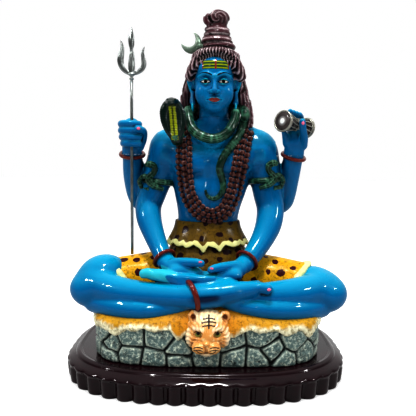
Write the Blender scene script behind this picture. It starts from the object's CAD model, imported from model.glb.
# %% [markdown]
# A shiva figure, nine inches tall, as shrines and homes keep them: cast in resin, lacquered in
# glossy blue, seated on a tiger skin over a rock, on a dark reeded plinth, with a metal trident.
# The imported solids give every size. Here each painted surface of the casting becomes a piece of
# its own, modelled in fine clay and finished with its own lacquer, brushwork or metal.

# %% The frame and the figure's own units
import math

import bpy
import numpy as np
from mathutils import Matrix, Vector


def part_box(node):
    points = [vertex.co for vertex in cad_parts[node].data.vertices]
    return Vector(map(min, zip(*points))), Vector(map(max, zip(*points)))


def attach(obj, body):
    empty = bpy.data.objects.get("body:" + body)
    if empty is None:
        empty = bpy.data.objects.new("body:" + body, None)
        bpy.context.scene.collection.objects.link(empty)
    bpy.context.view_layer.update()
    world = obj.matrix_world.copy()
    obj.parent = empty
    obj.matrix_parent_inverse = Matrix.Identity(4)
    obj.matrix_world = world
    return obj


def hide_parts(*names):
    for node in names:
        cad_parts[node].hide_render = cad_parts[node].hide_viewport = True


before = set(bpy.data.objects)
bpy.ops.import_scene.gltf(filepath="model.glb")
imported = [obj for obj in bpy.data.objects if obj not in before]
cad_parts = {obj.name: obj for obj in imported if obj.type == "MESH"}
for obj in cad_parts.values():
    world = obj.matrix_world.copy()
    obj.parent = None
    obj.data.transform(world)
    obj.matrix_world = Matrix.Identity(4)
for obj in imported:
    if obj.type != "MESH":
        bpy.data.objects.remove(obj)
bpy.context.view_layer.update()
figure_low, figure_high = (np.array(corner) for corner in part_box("figure"))
POSE_HEIGHT = 211.0                                     # the pose is worked out at this height
UNIT = (figure_high[2] - figure_low[2]) / POSE_HEIGHT   # metres in one of the pose's millimetres
SEAT_LEVEL = figure_low[2]
print("one pose unit is", round(UNIT * 1000, 4), "mm; the rock stands at", round(SEAT_LEVEL, 4))


def place(points):
    """Pose units to metres in the frame."""
    return np.asarray(points, float) * UNIT + (0, 0, SEAT_LEVEL)


# %% [markdown]
# The camera stands where the photographer's did: a little above the hands, looking slightly
# down, close enough that the knees look larger than the head. Its distance, height and tilt
# were worked out from the plinth's outline and the figure's height.

# %% Camera
PHOTO_SIDE = 416
LENS_PIXELS = 520.0          # focal length in the photograph's own pixels
SENSOR_WIDTH = 36.0          # millimetres
CAMERA_AT = (0.0, -0.331, 0.135)
CAMERA_PITCH = 5.5           # degrees down
CAMERA_ROLL = 0.6
FRAME_MIDDLE = (207.0, 208.0)

camera_data = bpy.data.cameras.new("photo_camera")
camera_data.sensor_width = SENSOR_WIDTH
camera_data.lens = SENSOR_WIDTH * LENS_PIXELS / PHOTO_SIDE
camera_data.shift_x = (PHOTO_SIDE / 2 - FRAME_MIDDLE[0]) / PHOTO_SIDE
camera_data.shift_y = (FRAME_MIDDLE[1] - PHOTO_SIDE / 2) / PHOTO_SIDE
camera_data.clip_start = 0.01
camera = bpy.data.objects.new("photo_camera", camera_data)
bpy.context.collection.objects.link(camera)
camera.matrix_world = (Matrix.Translation(CAMERA_AT)
                       @ Matrix.Rotation(math.radians(90 - CAMERA_PITCH), 4, "X")
                       @ Matrix.Rotation(math.radians(CAMERA_ROLL), 4, "Z"))
bpy.context.scene.camera = camera
print("lens", round(camera_data.lens, 2), "mm")

# %% [markdown]
# A carved body has no flat panels or straight edges, so it isn't built from boxes and modifiers.
# It is modelled as clay: a fine grid of numbers says how far each point lies from the surface.
# Eggs and tapering limbs are pressed together softly, hollows are scooped out, and a skin of
# small four-sided faces is then laid where the distance is nought.

# %% Clay
CLAY_REACH = 4.0      # distances are kept only this near the surface
CORNERS = np.array([(i, j, k) for i in (0, 1) for j in (0, 1) for k in (0, 1)])


def smooth_line(stations, steps):
    """Points along a curve through the stations, each with as many numbers as a station."""
    knots = np.array(stations, float)
    knots = np.vstack([2 * knots[0] - knots[1], knots, 2 * knots[-1] - knots[-2]])
    points = []
    for a, b, c, d in zip(knots, knots[1:], knots[2:], knots[3:]):
        for t in np.arange(steps) / steps:
            points.append(0.5 * (2 * b + (c - a) * t + (2 * a - 5 * b + 4 * c - d) * t ** 2
                                 + (3 * b - 3 * c + d - a) * t ** 3))
    return np.array(points + [knots[-2]])


def turned(degrees):
    """A turn about X, then Y, then Z."""
    turns = [Matrix.Rotation(math.radians(d), 3, axis) for d, axis in zip(degrees, "XYZ")]
    return np.array(turns[2] @ turns[1] @ turns[0])


class Clay:
    """A block of clay, in pose units: how far each point of a grid lies from the surface."""

    def __init__(self, low, high, cell):
        self.low = np.array(low, float)
        self.cell = cell
        self.count = np.ceil((np.array(high, float) - self.low) / cell).astype(int) + 1
        self.field = np.full(self.count, CLAY_REACH, np.float32)

    def window(self, low, high):
        """The part of the grid between two corners, and its coordinates."""
        first = np.clip(np.floor((np.array(low) - self.low) / self.cell).astype(int), 0, self.count)
        last = np.clip(np.ceil((np.array(high) - self.low) / self.cell).astype(int) + 1, 0, self.count)
        axes = [np.float32(self.low[n] + self.cell * np.arange(first[n], last[n])) for n in range(3)]
        part = tuple(slice(a, b) for a, b in zip(first, last))
        return part, np.meshgrid(*axes, indexing="ij", sparse=True)

    def press(self, part, distance, soft, carve=False):
        """Joins a form on softly, or scoops it out."""
        old = self.field[part]
        if carve:
            distance = -distance
        near = np.maximum(soft - np.abs(old - distance), 0) / soft
        bulge = near * near * soft / 4
        if carve:
            self.field[part] = np.maximum(old, distance) + bulge
        else:
            self.field[part] = np.minimum(old, distance) - bulge

    def egg(self, centre, radii, turn=(0, 0, 0), soft=1.0, carve=False):
        """An egg form with three half-axes, turned about its centre."""
        reach = max(radii) + CLAY_REACH
        part, grid = self.window(np.array(centre) - reach, np.array(centre) + reach)
        away = [g - c for g, c in zip(grid, centre)]
        spin = turned(turn)
        local = [sum(np.float32(spin[i][n]) * away[i] for i in range(3)) for n in range(3)]
        near = np.sqrt(sum((a / r) ** 2 for a, r in zip(local, radii)))
        slope = np.sqrt(sum((a / r ** 2) ** 2 for a, r in zip(local, radii)))
        self.press(part, near * (near - 1) / np.maximum(slope, 1e-6), soft, carve)

    def limb(self, stations, soft=1.0, steps=5, flat=None, carve=False):
        """A tapering limb through stations [x, y, z, radius]; flat is (direction, share of radius)."""
        line = smooth_line(stations, steps)
        reach = line[:, 3:].max() + CLAY_REACH
        whole, _ = self.window((line[:, :3] - reach).min(0), (line[:, :3] + reach).max(0))
        form = np.full([s.stop - s.start for s in whole], CLAY_REACH, np.float32)
        for a, b in zip(line, line[1:]):
            margin = max(a[3], b[3]) + CLAY_REACH
            part, grid = self.window(np.minimum(a, b)[:3] - margin, np.maximum(a, b)[:3] + margin)
            away = [g - c for g, c in zip(grid, a)]
            run = (b - a)[:3]
            if flat:
                axis, share = flat
                stretch = 1 / share - 1
                lift = sum(np.float32(n) * g for n, g in zip(axis, away)) * stretch
                away = [g + np.float32(n) * lift for g, n in zip(away, axis)]
                run = run + np.array(axis) * np.dot(run, axis) * stretch
            t = sum(np.float32(r) * g for r, g in zip(run, away)) / max(np.dot(run, run), 1e-9)
            t = np.clip(t, 0, 1)
            gap = np.sqrt(sum((g - np.float32(r) * t) ** 2 for g, r in zip(away, run)))
            gap = gap - np.float32(a[3]) - np.float32(b[3] - a[3]) * t
            if flat:
                gap = gap * (1 + flat[1]) / 2
            inner = tuple(slice(p.start - w.start, p.stop - w.start) for p, w in zip(part, whole))
            form[inner] = np.minimum(form[inner], gap)
        self.press(whole, form, soft, carve)

    def stack(self, rows, soft=1.0, steps=6):
        """Ovals one above the other, in rows of height, middle x and y, half-width and half-depth."""
        rows = smooth_line(rows, steps)
        low = [(rows[:, 1] - rows[:, 3]).min(), (rows[:, 2] - rows[:, 4]).min(), rows[0, 0]]
        high = [(rows[:, 1] + rows[:, 3]).max(), (rows[:, 2] + rows[:, 4]).max(), rows[-1, 0]]
        part, (x, y, z) = self.window(np.array(low) - CLAY_REACH, np.array(high) + CLAY_REACH)
        cx, cy, rx, ry = (np.interp(z, rows[:, 0], rows[:, n]).astype(np.float32) for n in range(1, 5))
        near = np.sqrt(((x - cx) / rx) ** 2 + ((y - cy) / ry) ** 2)
        slope = np.sqrt(((x - cx) / rx ** 2) ** 2 + ((y - cy) / ry ** 2) ** 2)
        side = near * (near - 1) / np.maximum(slope, 1e-6)
        self.press(part, np.maximum(side, np.maximum(rows[0, 0] - z, z - rows[-1, 0])), soft)

    def relief(self, height, low=None, high=None):
        """Raises the surface by height(x, y, z), for locks, folds and roughness."""
        low = self.low if low is None else low
        high = self.low + self.cell * self.count if high is None else high
        part, grid = self.window(low, high)
        self.field[part] = self.field[part] - height(*grid)

    def measure(self, points):
        """Distance from the surface at any points, between the grid's own."""
        at = np.clip((points - self.low) / self.cell, 0, self.count - 1.001)
        base = at.astype(int)
        part = at - base
        total = np.zeros(len(points))
        for corner in CORNERS:
            share = np.prod(np.where(corner, part, 1 - part), axis=1)
            total += share * self.field[tuple((base + corner).T)]
        return total

    def facing(self, points):
        """Which way the surface faces at the points."""
        step = self.cell * 0.75
        slope = np.stack([self.measure(points + step * axis) - self.measure(points - step * axis)
                          for axis in np.eye(3)], axis=1)
        return slope / np.maximum(np.linalg.norm(slope, axis=1, keepdims=True), 1e-9)

    def skin(self, leave_out=()):
        """Points and four-sided faces on the surface, except inside the boxes left out."""
        solid = self.field < 0
        corners = [solid[i:solid.shape[0] - 1 + i, j:solid.shape[1] - 1 + j, k:solid.shape[2] - 1 + k]
                   for i, j, k in CORNERS]
        mixed = np.logical_or.reduce(corners) & ~np.logical_and.reduce(corners)
        cells = np.argwhere(mixed)
        middles = self.low + (cells + 0.5) * self.cell
        for low, high in leave_out:
            outside = ~np.all((middles > low) & (middles < high), axis=1)
            cells, middles = cells[outside], middles[outside]
        values = np.stack([self.field[tuple((cells + c).T)] for c in CORNERS], axis=1)
        total = np.zeros((len(cells), 3))
        crossings = np.zeros((len(cells), 1))
        for a in range(8):
            for b in range(a + 1, 8):
                if np.abs(CORNERS[a] - CORNERS[b]).sum() != 1:
                    continue
                cut = (values[:, a] < 0) != (values[:, b] < 0)
                fall = np.where(cut, values[:, a] - values[:, b], 1)
                t = np.where(cut, values[:, a] / fall, 0)[:, None]
                total += cut[:, None] * (CORNERS[a] * (1 - t) + CORNERS[b] * t)
                crossings += cut[:, None]
        points = self.low + (cells + total / crossings) * self.cell
        number = np.full(mixed.shape, -1, np.int64)
        number[tuple(cells.T)] = np.arange(len(cells))
        faces = []
        for axis in range(3):
            ahead, side, up = np.roll(np.eye(3, dtype=int), -axis, axis=0)
            here = cells[np.all(cells >= side + up, axis=1)]
            start, end = solid[tuple(here.T)], solid[tuple((here + ahead).T)]
            for chosen, outward in ((start & ~end, True), (end & ~start, False)):
                base = here[chosen]
                ring = [base, base - side, base - side - up, base - up]
                quad = np.stack([number[tuple(r.T)] for r in ring], axis=1)
                quad = quad[np.all(quad >= 0, axis=1)]
                faces.append(quad if outward else quad[:, ::-1])
        return points, np.vstack(faces)


# %% [markdown]
# Points and faces become a Blender mesh in bulk, because one call for each face would take
# minutes. Each piece of clay also carries two painter's masks, measured from the clay itself:
# how deep in a hollow a point lies, where an airbrush leaves darker paint, and how sharp an edge
# it is on, where a dry brush catches.

# %% Meshes with painter's masks
def make_piece(name, points, faces, material, masks=None, node="figure", slot="lacquered_resin"):
    """A Blender piece from points in metres; masks are numbers at the points, by name."""
    faces = [np.asarray(faces)] if isinstance(faces, np.ndarray) else faces
    faces = [np.asarray(f) for f in faces if len(f)]
    sizes = np.concatenate([np.full(len(f), f.shape[1]) for f in faces])
    corners = np.concatenate([f.ravel() for f in faces]).astype(np.int32)
    mesh = bpy.data.meshes.new(name)
    mesh.vertices.add(len(points))
    mesh.vertices.foreach_set("co", np.asarray(points, np.float32).ravel())
    mesh.loops.add(len(corners))
    mesh.loops.foreach_set("vertex_index", corners)
    mesh.polygons.add(len(sizes))
    starts = np.concatenate([[0], np.cumsum(sizes)[:-1]]).astype(np.int32)
    mesh.polygons.foreach_set("loop_start", starts)
    mesh.polygons.foreach_set("use_smooth", np.full(len(sizes), True))
    mesh.update(calc_edges=True)
    mesh.validate()
    for mask, values in (masks or {}).items():
        layer = mesh.attributes.new(mask, "FLOAT", "POINT")
        layer.data.foreach_set("value", np.asarray(values, np.float32))
    mesh.materials.append(material)
    piece = bpy.data.objects.new(name, mesh)
    bpy.context.collection.objects.link(piece)
    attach(piece, "root")
    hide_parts(node)
    print(name, "has", int(np.sum(sizes - 2)), "triangles")


# %% Clay fired into a piece
HOLLOW_DEPTHS = (1.2, 3.0)     # steps out of the surface, which find clay nearby in a hollow
HOLLOW_START = 0.15            # a hollow shallower than this stays clean
EDGE_DEPTH = 1.0               # a step inwards, which finds little clay under an edge
SLOPE_STEP = 0.5
LEAST_SLOPE = 0.3              # softly joined clay counts its distances short by no more than this


def fire(name, clay, material, leave_out=(), masks=None):
    """The finished skin of a block of clay, with its hollows and edges as masks."""
    points, faces = clay.skin(leave_out)
    out = clay.facing(points)
    slope = clay.measure(points + SLOPE_STEP * out) - clay.measure(points - SLOPE_STEP * out)
    slope = slope.clip(LEAST_SLOPE, None)
    open_air = sum(clay.measure(points + depth * out) / depth for depth in HOLLOW_DEPTHS)
    open_air = open_air / len(HOLLOW_DEPTHS) / slope
    body_depth = -clay.measure(points - EDGE_DEPTH * out) / EDGE_DEPTH / slope
    values = {"hollow": np.clip((1 + HOLLOW_START) * (1 - open_air) - HOLLOW_START, 0, 1),
              "edge": np.clip(1 - body_depth, 0, 1)}
    values.update({mask: rule(*points.T) for mask, rule in (masks or {}).items()})
    make_piece(name, place(points), faces, material, values)


# %% [markdown]
# Lacquer over airbrushed paint: one colour in the open, a darker one drifting into the hollows,
# a lighter one on the edges, and slight clouding. That is the same on the skin, the rock, the
# hair and the skins, so it is one node group with its own colours in each material. The group
# gives colours only. The gloss stays in each material's own shader. The broken touches of a
# brush, fine grain and mist sprayed from above are on several finishes too, so each is a group.

# %% Node helpers
def node(tree, kind, inputs=None, **settings):
    """A node with its settings and inputs; an input may be a value or another node's output."""
    made = tree.nodes.new(kind)
    for key, value in settings.items():
        setattr(made, key, value)
    for key, value in (inputs or {}).items():
        if isinstance(value, bpy.types.NodeSocket):
            tree.links.new(value, made.inputs[key])
        else:
            made.inputs[key].default_value = value
    return made


def maths(tree, operation, a, b, clamp=False):
    """One sum of two values."""
    return node(tree, "ShaderNodeMath", {0: a, 1: b}, operation=operation, use_clamp=clamp).outputs[0]


def ramp(tree, value, gain, lift):
    """A value times a gain plus a lift, held between 0 and 1."""
    return node(tree, "ShaderNodeMath", {0: value, 1: gain, 2: lift}, operation="MULTIPLY_ADD",
                use_clamp=True).outputs[0]


def over_level(tree, value, level, gain):
    """Where a value rises over a level, as a mask between 0 and 1."""
    return maths(tree, "MULTIPLY", maths(tree, "SUBTRACT", value, level), gain, clamp=True)


def blend(tree, share, a, b):
    """Colour a, with colour b over a share of it."""
    made = node(tree, "ShaderNodeMix", {0: share, 6: a, 7: b}, data_type="RGBA")
    return made.outputs[2]


def mask(tree, name):
    """A painter's mask carried by the piece."""
    return node(tree, "ShaderNodeAttribute", attribute_name=name).outputs["Fac"]


def cloud(tree, scale, detail=3.0, roughness=0.6, stretch=None):
    """Soft noise measured on the object itself."""
    at = node(tree, "ShaderNodeTexCoord").outputs["Object"]
    if stretch:
        at = node(tree, "ShaderNodeMapping", {"Vector": at, "Scale": stretch}).outputs[0]
    settings = {"Vector": at, "Scale": scale, "Detail": detail, "Roughness": roughness}
    return node(tree, "ShaderNodeTexNoise", settings).outputs["Fac"]


def rgb(r, g, b):
    """A colour as a painter reads it on screen, made linear for the renderer."""
    linear = [c / 12.92 if c <= 0.04045 else ((c + 0.055) / 1.055) ** 2.4 for c in (r, g, b)]
    return (*linear, 1.0)


# %% Making a group
def new_group(name, colours, numbers, output, kind="NodeSocketFloat"):
    """An empty node group with named colours and numbers going in and one output."""
    group = bpy.data.node_groups.new(name, "ShaderNodeTree")
    for colour in colours:
        group.interface.new_socket(colour, in_out="INPUT", socket_type="NodeSocketColor")
    for socket, value in numbers.items():
        number = group.interface.new_socket(socket, in_out="INPUT", socket_type="NodeSocketFloat")
        number.default_value = value
    group.interface.new_socket(output, in_out="OUTPUT", socket_type=kind)
    return group, group.nodes.new("NodeGroupInput").outputs


def close_group(group, result):
    """Leads the result out of a group."""
    group.links.new(result, group.nodes.new("NodeGroupOutput").inputs[0])
    print("group", group.name, "has", len(group.nodes), "nodes")


def placed(tree, group, values):
    """A group in a material with its own values, which may be outputs of other nodes."""
    return node(tree, "ShaderNodeGroup", values, node_tree=group).outputs[0]


# %% The airbrush group
airbrush, given = new_group("airbrushed_paint", ("Open", "Hollow", "Edge"),
                            {"Hollow share": 1.0, "Edge share": 0.5, "Edge start": 0.0, "Clouding": 0.15,
                             "Cloud scale": 60.0}, "Color", "NodeSocketColor")
clouds = cloud(airbrush, given["Cloud scale"])
drift = maths(airbrush, "MULTIPLY", maths(airbrush, "SUBTRACT", clouds, 0.5), given["Clouding"])
in_hollow = maths(airbrush, "MULTIPLY", mask(airbrush, "hollow"), given["Hollow share"])
in_hollow = maths(airbrush, "ADD", in_hollow, drift, clamp=True)
on_edge = over_level(airbrush, mask(airbrush, "edge"), given["Edge start"], given["Edge share"])
tone = blend(airbrush, on_edge, given["Open"], given["Edge"])
close_group(airbrush, blend(airbrush, in_hollow, tone, given["Hollow"]))


def airbrushed(tree, open_colour, hollow_colour, edge_colour, **shares):
    """The airbrush group with its three colours and with the inputs that differ, by name."""
    values = {"Open": open_colour, "Hollow": hollow_colour, "Edge": edge_colour}
    values.update({key.replace("_", " ").capitalize(): value for key, value in shares.items()})
    return placed(tree, airbrush, values)


# %% The groups for broken touches and fine grain
broken_touches, given = new_group("broken_touches", (), {"Scale": 300.0, "Detail": 3.0, "Roughness": 0.6,
                                                         "Level": 0.5, "Gain": 5.0}, "Mask")
dabs = cloud(broken_touches, given["Scale"], given["Detail"], given["Roughness"])
close_group(broken_touches, over_level(broken_touches, dabs, given["Level"], given["Gain"]))
fine_grain, given = new_group("fine_grain", (), {"Scale": 260.0, "Detail": 2.0, "Roughness": 0.6}, "Height")
close_group(fine_grain, cloud(fine_grain, given["Scale"], given["Detail"], given["Roughness"]))


def touches(tree, scale, level, gain, detail=3.0, roughness=0.6):
    """The touches of a brush, or worn or stained patches, as a mask."""
    return placed(tree, broken_touches, {"Scale": scale, "Detail": detail, "Roughness": roughness,
                                         "Level": level, "Gain": gain})


def grained(tree, scale, detail=2.0, roughness=0.6):
    """Fine grain, as a height."""
    return placed(tree, fine_grain, {"Scale": scale, "Detail": detail, "Roughness": roughness})


# %% Finishes
def finish(name, roughness=0.3, coat=0.6, coat_roughness=0.08, metallic=0.0, specular=0.2):
    """A material with a plain glossy shader, and its tree for the maker to paint in."""
    material = bpy.data.materials.new(name)
    material.use_nodes = True
    shader = material.node_tree.nodes["Principled BSDF"]
    values = {"Roughness": roughness, "Coat Weight": coat, "Coat Roughness": coat_roughness,
              "Metallic": metallic, "Specular IOR Level": specular}
    for socket, value in values.items():
        shader.inputs[socket].default_value = value
    print("finish", name, "with roughness", roughness, "and coat", coat)
    return material, material.node_tree, shader


def lay_colour(shader, tone):
    """Lays a colour, or the output of nodes, on a material."""
    if isinstance(tone, bpy.types.NodeSocket):
        shader.id_data.links.new(tone, shader.inputs["Base Color"])
    else:
        shader.inputs["Base Color"].default_value = tone


def bumpy(shader, height, depth):
    """A fine unevenness from a height between 0 and 1 and its depth in metres."""
    bump = node(shader.id_data, "ShaderNodeBump", {"Height": height, "Distance": depth})
    shader.id_data.links.new(bump.outputs[0], shader.inputs["Normal"])


# %% [markdown]
# The set is a white product tent, open on the camera's side. A pale floor and bright walls
# behind, above and beside give lacquer its light rims, because glancing reflections of white
# brighten every rounded edge. The open side is dim, so the surfaces that face the camera keep
# their deep colour. Small lamps add the sharp dots that tell the eye the surface is glossy.

# %% Floor
FLOOR_SIZE = 6.0
FLOOR_GLOW = 0.62             # lifts the grey floor to white, for the camera alone
half = FLOOR_SIZE / 2
floor_mesh = bpy.data.meshes.new("floor")
floor_mesh.from_pydata([(-half, -half, 0), (half, -half, 0), (half, half, 0), (-half, half, 0)], [],
                       [(0, 1, 2, 3)])
floor_white, tree, shader = finish("floor_white", roughness=0.9, coat=0.0, specular=0.5)
lay_colour(shader, (0.5, 0.5, 0.5, 1))
seen = node(tree, "ShaderNodeLightPath").outputs["Is Camera Ray"]
tree.links.new(maths(tree, "MULTIPLY", seen, FLOOR_GLOW), shader.inputs["Emission Strength"])
shader.inputs["Emission Color"].default_value = (1, 1, 1, 1)
floor_mesh.materials.append(floor_white)
floor = bpy.data.objects.new("floor", floor_mesh)
bpy.context.collection.objects.link(floor)

# %% Surround
BACK_GAIN, BACK_LIFT = 0.8, 0.2            # brightest behind the figure, dim on the camera's side
CEILING_GAIN, CEILING_LIFT = 1.1, -0.3     # starts a little above eye level
LEAST_LIGHT = 0.03
world = bpy.data.worlds.new("white_tent")
bpy.context.scene.world = world
world.use_nodes = True
tree = world.node_tree
towards = node(tree, "ShaderNodeSeparateXYZ", {0: node(tree, "ShaderNodeTexCoord").outputs["Generated"]})
back = ramp(tree, towards.outputs["Y"], BACK_GAIN, BACK_LIFT)
ceiling = ramp(tree, towards.outputs["Z"], CEILING_GAIN, CEILING_LIFT)
walls = maths(tree, "ADD", maths(tree, "ADD", back, ceiling, clamp=True), LEAST_LIGHT)
seen = node(tree, "ShaderNodeLightPath").outputs["Is Camera Ray"]
brightness = node(tree, "ShaderNodeMix", {0: seen, 2: walls, 3: 1.0}).outputs[0]
tree.links.new(brightness, tree.nodes["Background"].inputs["Strength"])
tree.nodes["Background"].inputs["Color"].default_value = (1, 1, 1, 1)

# %% Lamps
CHEST = (0.0, 0.0, 0.13)      # every lamp faces this place
SHADOW_DEPTH = 0.68           # below 1 the shadows are deeper, as in a printed catalogue
LAMPS = (("left_lamp", (-0.75, -0.3, 0.6), 0.08, 2), ("right_lamp", (0.8, -0.3, 0.55), 0.08, 2.3),
         ("top_lamp", (0.0, -0.25, 1.1), 0.2, 8.5), ("spark_lamp", (-0.35, -0.8, 0.7), 0.04, 2.4),
         ("low_spark_lamp", (0.35, -0.9, 0.35), 0.03, 0.8))
for name, at, width, watts in LAMPS:
    data = bpy.data.lights.new(name, "AREA")
    data.shape = "DISK"
    data.size = width
    data.energy = watts
    holder = bpy.data.objects.new(name, data)
    bpy.context.collection.objects.link(holder)
    aim = Vector((np.array(CHEST) - at).tolist()).to_track_quat("-Z", "Y")
    holder.matrix_world = Matrix.Translation(at) @ aim.to_matrix().to_4x4()
    print(name, "is", width, "m wide and has", watts, "W")
bpy.context.scene.view_settings.view_transform = "Standard"
bpy.context.scene.view_settings.gamma = SHADOW_DEPTH

# %% [markdown]
# The lacquer is a clear blue that pools darker in the hollows and is misted paler from above.
# Painted details, such as the brows and eyes, are crisp shapes: the piece carries a number that
# says how far inside the outline a point lies, and the material turns it into a sharp mask.

# %% Blue lacquer
MIST_LOSS = 0.08              # sloping surfaces lose this much of the mist
CRISPNESS = 5.0               # a painted edge fades over a fifth of a millimetre
LACQUER_GRAIN, LACQUER_GRAIN_DEPTH = 260.0, 0.00008


mist, given = new_group("mist_from_above", ("Paint", "Mist"), {"Share": 0.5}, "Color", "NodeSocketColor")
normal = node(mist, "ShaderNodeNewGeometry").outputs["Normal"]
facing_up = node(mist, "ShaderNodeSeparateXYZ", {0: normal}).outputs["Z"]
on_top = ramp(mist, facing_up, given["Share"], -MIST_LOSS)
close_group(mist, blend(mist, on_top, given["Paint"], given["Mist"]))


def blue_tone(tree, deep=rgb(0.0, 0.46, 0.66), hollow_share=2.0, mist_share=0.5):
    """Blue that is darkest in the hollows and misted with pale blue from above."""
    tone = airbrushed(tree, deep, rgb(0.0, 0.14, 0.29), rgb(0.0, 0.88, 0.94), hollow_share=hollow_share,
                      edge_share=0.8, clouding=0.18, cloud_scale=45.0)
    return placed(tree, mist, {"Paint": tone, "Mist": rgb(0.0, 0.80, 0.88), "Share": mist_share})


def drawn(tree, name):
    """A painted shape with a crisp edge, from a mask that counts millimetres in from its outline."""
    return ramp(tree, mask(tree, name), CRISPNESS, 0.5)


blue_lacquer, tree, shader = finish("blue_lacquer", roughness=0.3, coat=0.4, coat_roughness=0.06,
                                    specular=0.05)
lay_colour(shader, blend(tree, mask(tree, "pale"), blue_tone(tree), rgb(0.22, 0.74, 0.80)))
bumpy(shader, grained(tree, LACQUER_GRAIN), LACQUER_GRAIN_DEPTH)

# %% Face lacquer
FACE_COLOURS = {
    "brow_line": rgb(0.01, 0.05, 0.13), "eye_white": rgb(0.93, 0.92, 0.88), "iris": rgb(0.09, 0.05, 0.04),
    "lid_line": rgb(0.01, 0.02, 0.05), "lips": rgb(0.60, 0.27, 0.24), "ash_field": rgb(0.03, 0.25, 0.17),
    "ash_lines": rgb(0.58, 0.62, 0.06), "ash_edge": rgb(0.55, 0.15, 0.20),
}
face_lacquer, tree, shader = finish("face_lacquer", roughness=0.35, coat=0.35, coat_roughness=0.08,
                                    specular=0.05)
face_tone = blue_tone(tree, rgb(0.0, 0.49, 0.68), hollow_share=0.9, mist_share=0.1)
for detail, colour in FACE_COLOURS.items():
    face_tone = blend(tree, drawn(tree, detail), face_tone, colour)
lay_colour(shader, face_tone)
bumpy(shader, grained(tree, LACQUER_GRAIN), LACQUER_GRAIN_DEPTH)

# %% [markdown]
# The body: a broad chest over a narrow waist, four arms and two crossed legs, all soft forms
# without bones or veins. It is one casting, so the hands, feet and head must grow out of the
# arms, legs and neck without a seam. The same functions model them in every block: the body in
# coarse clay, and the hands, feet and head again in finer blocks that take over inside a box.

# %% Torso and neck
def mirrored(x, side, *stations):
    """Stations of (out from the middle x, y, z, radius) as places, so that both sides can share them."""
    return [[x + side * out, *rest] for out, *rest in stations]


def model_torso(clay):
    clay.stack([[40, 0.3, 8, 25, 18], [58, 0.4, 8, 22, 15], [75, 0.6, 8.5, 19.6, 13.2],
                [84, 1, 8.5, 20.2, 13.8], [95, 1.8, 8.6, 23, 15], [106, 2.4, 9, 25.6, 15.6],
                [117, 3, 9.6, 26, 15.4], [127, 3.4, 10.4, 24.5, 13], [134, 3.6, 10.6, 19, 10],
                [139, 3.8, 10.2, 12, 8.5]], soft=2)
    clay.limb([[-24, 11, 126.8, 8.6], [-13, 10.6, 132.2, 7.8], [3.6, 11, 135, 7.6], [20, 10.6, 133, 7.8],
               [31, 11, 128, 8.6]], soft=5)
    for side, x in ((-1, -8.6), (1, 14.6)):
        clay.egg([x, -0.2, 115.4], [13.6, 7.4, 11.4], turn=(-8, 0, side * 8), soft=4)
        clay.limb(mirrored(x, side, (14, 5, 127.8, 1.7), (6, -0.6, 129.4, 1.6), (-5, -1.2, 127.4, 1.4)),
                  soft=3.2)
        clay.limb(mirrored(x, side, (6, 4, 119, 8), (16, 7.6, 121, 8.6)), soft=6)
        clay.egg([x - side * 3, -3.2, 96.6], [7.6, 4, 6.2], soft=5)
        clay.egg([x - side * 3.6, -3, 84.6], [7, 3.6, 6], soft=5)
        clay.limb(mirrored(x, side, (10, -2, 112, 0.8), (3, -6.6, 107, 1.1), (-4, -8, 107.4, 1)),
                  soft=3, carve=True)
        clay.limb(mirrored(x, side, (-1, -7.6, 92, 0.6), (-5, -8.2, 90.6, 0.7)), soft=2.6, carve=True)
    clay.limb([[3, -9.6, 128, 1.2], [2.8, -9.8, 116, 1.2], [2.4, -8.6, 104, 1], [1.8, -8.2, 94, 0.9],
               [1.4, -7.6, 82, 0.8]], soft=3, carve=True)
    clay.egg([1.4, -6.4, 81.4], [0.9, 1.6, 1.2], soft=1, carve=True)
    clay.limb([[3.6, 11, 130, 10.6], [3.8, 9.4, 140, 9.6], [3.9, 7.4, 150, 9.3], [4, 6.6, 156, 9.4]], soft=3)
    clay.limb([[4.2, 26, 128, 1.2], [3, 25, 104, 1.3], [2, 23, 84, 1.1]], soft=3, carve=True)
    for side in (-1, 1):
        clay.egg([3.6 + side * 12, 21.4, 118], [9, 4, 12], turn=(6, 0, -side * 14), soft=5)


# %% Arms
def model_front_arms(clay):
    clay.egg([-26.6, 10.4, 122.6], [11, 11.2, 12.8], turn=(0, 8, 0), soft=4)
    clay.egg([34.4, 10.4, 121.4], [11, 11.2, 12.8], turn=(0, -8, 0), soft=4)
    clay.limb([[-27, 10.4, 121, 9.6], [-29.6, 9.6, 114, 10], [-32.4, 8.8, 105, 9.6], [-35.4, 7.6, 95, 8.8],
               [-38, 5.6, 86.6, 8.4], [-37, 0, 78.6, 7.9], [-33.4, -6.6, 70, 6.7], [-28.8, -14, 61.4, 5.7],
               [-24.4, -20.8, 54.6, 5.2]], soft=4)
    clay.limb([[34.6, 10.4, 121, 9.8], [36.4, 9.6, 114, 10.2], [38, 8.8, 105, 10], [39.6, 7.6, 94.6, 9.3],
               [41.2, 5.6, 85.6, 8.8], [39.6, 0, 76, 8.3], [35, -6.6, 67, 7.1], [29, -14, 59.4, 6],
               [23.2, -20.6, 54, 5.2]], soft=4)


def model_rear_arms(clay):
    clay.limb([[-22, 17.5, 126, 9], [-31, 21.5, 109, 8.8], [-40, 23.6, 91, 8.2], [-43.6, 22, 89, 8],
               [-46.4, 19, 94.6, 7.8], [-48, 13.6, 105, 7.3], [-48.5, 8.6, 114, 6.5], [-48.5, 5, 121, 5.8]],
              soft=3)
    clay.limb([[29, 17.5, 126, 9], [38, 21.5, 109, 8.8], [47, 23.6, 90, 8], [50.4, 20.4, 89.4, 7.6],
               [52.2, 17, 95, 7.2], [53.6, 12, 105, 6.7], [54.8, 7.6, 114, 6.2], [55.3, 4.8, 121, 5.9]],
              soft=3)


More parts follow.
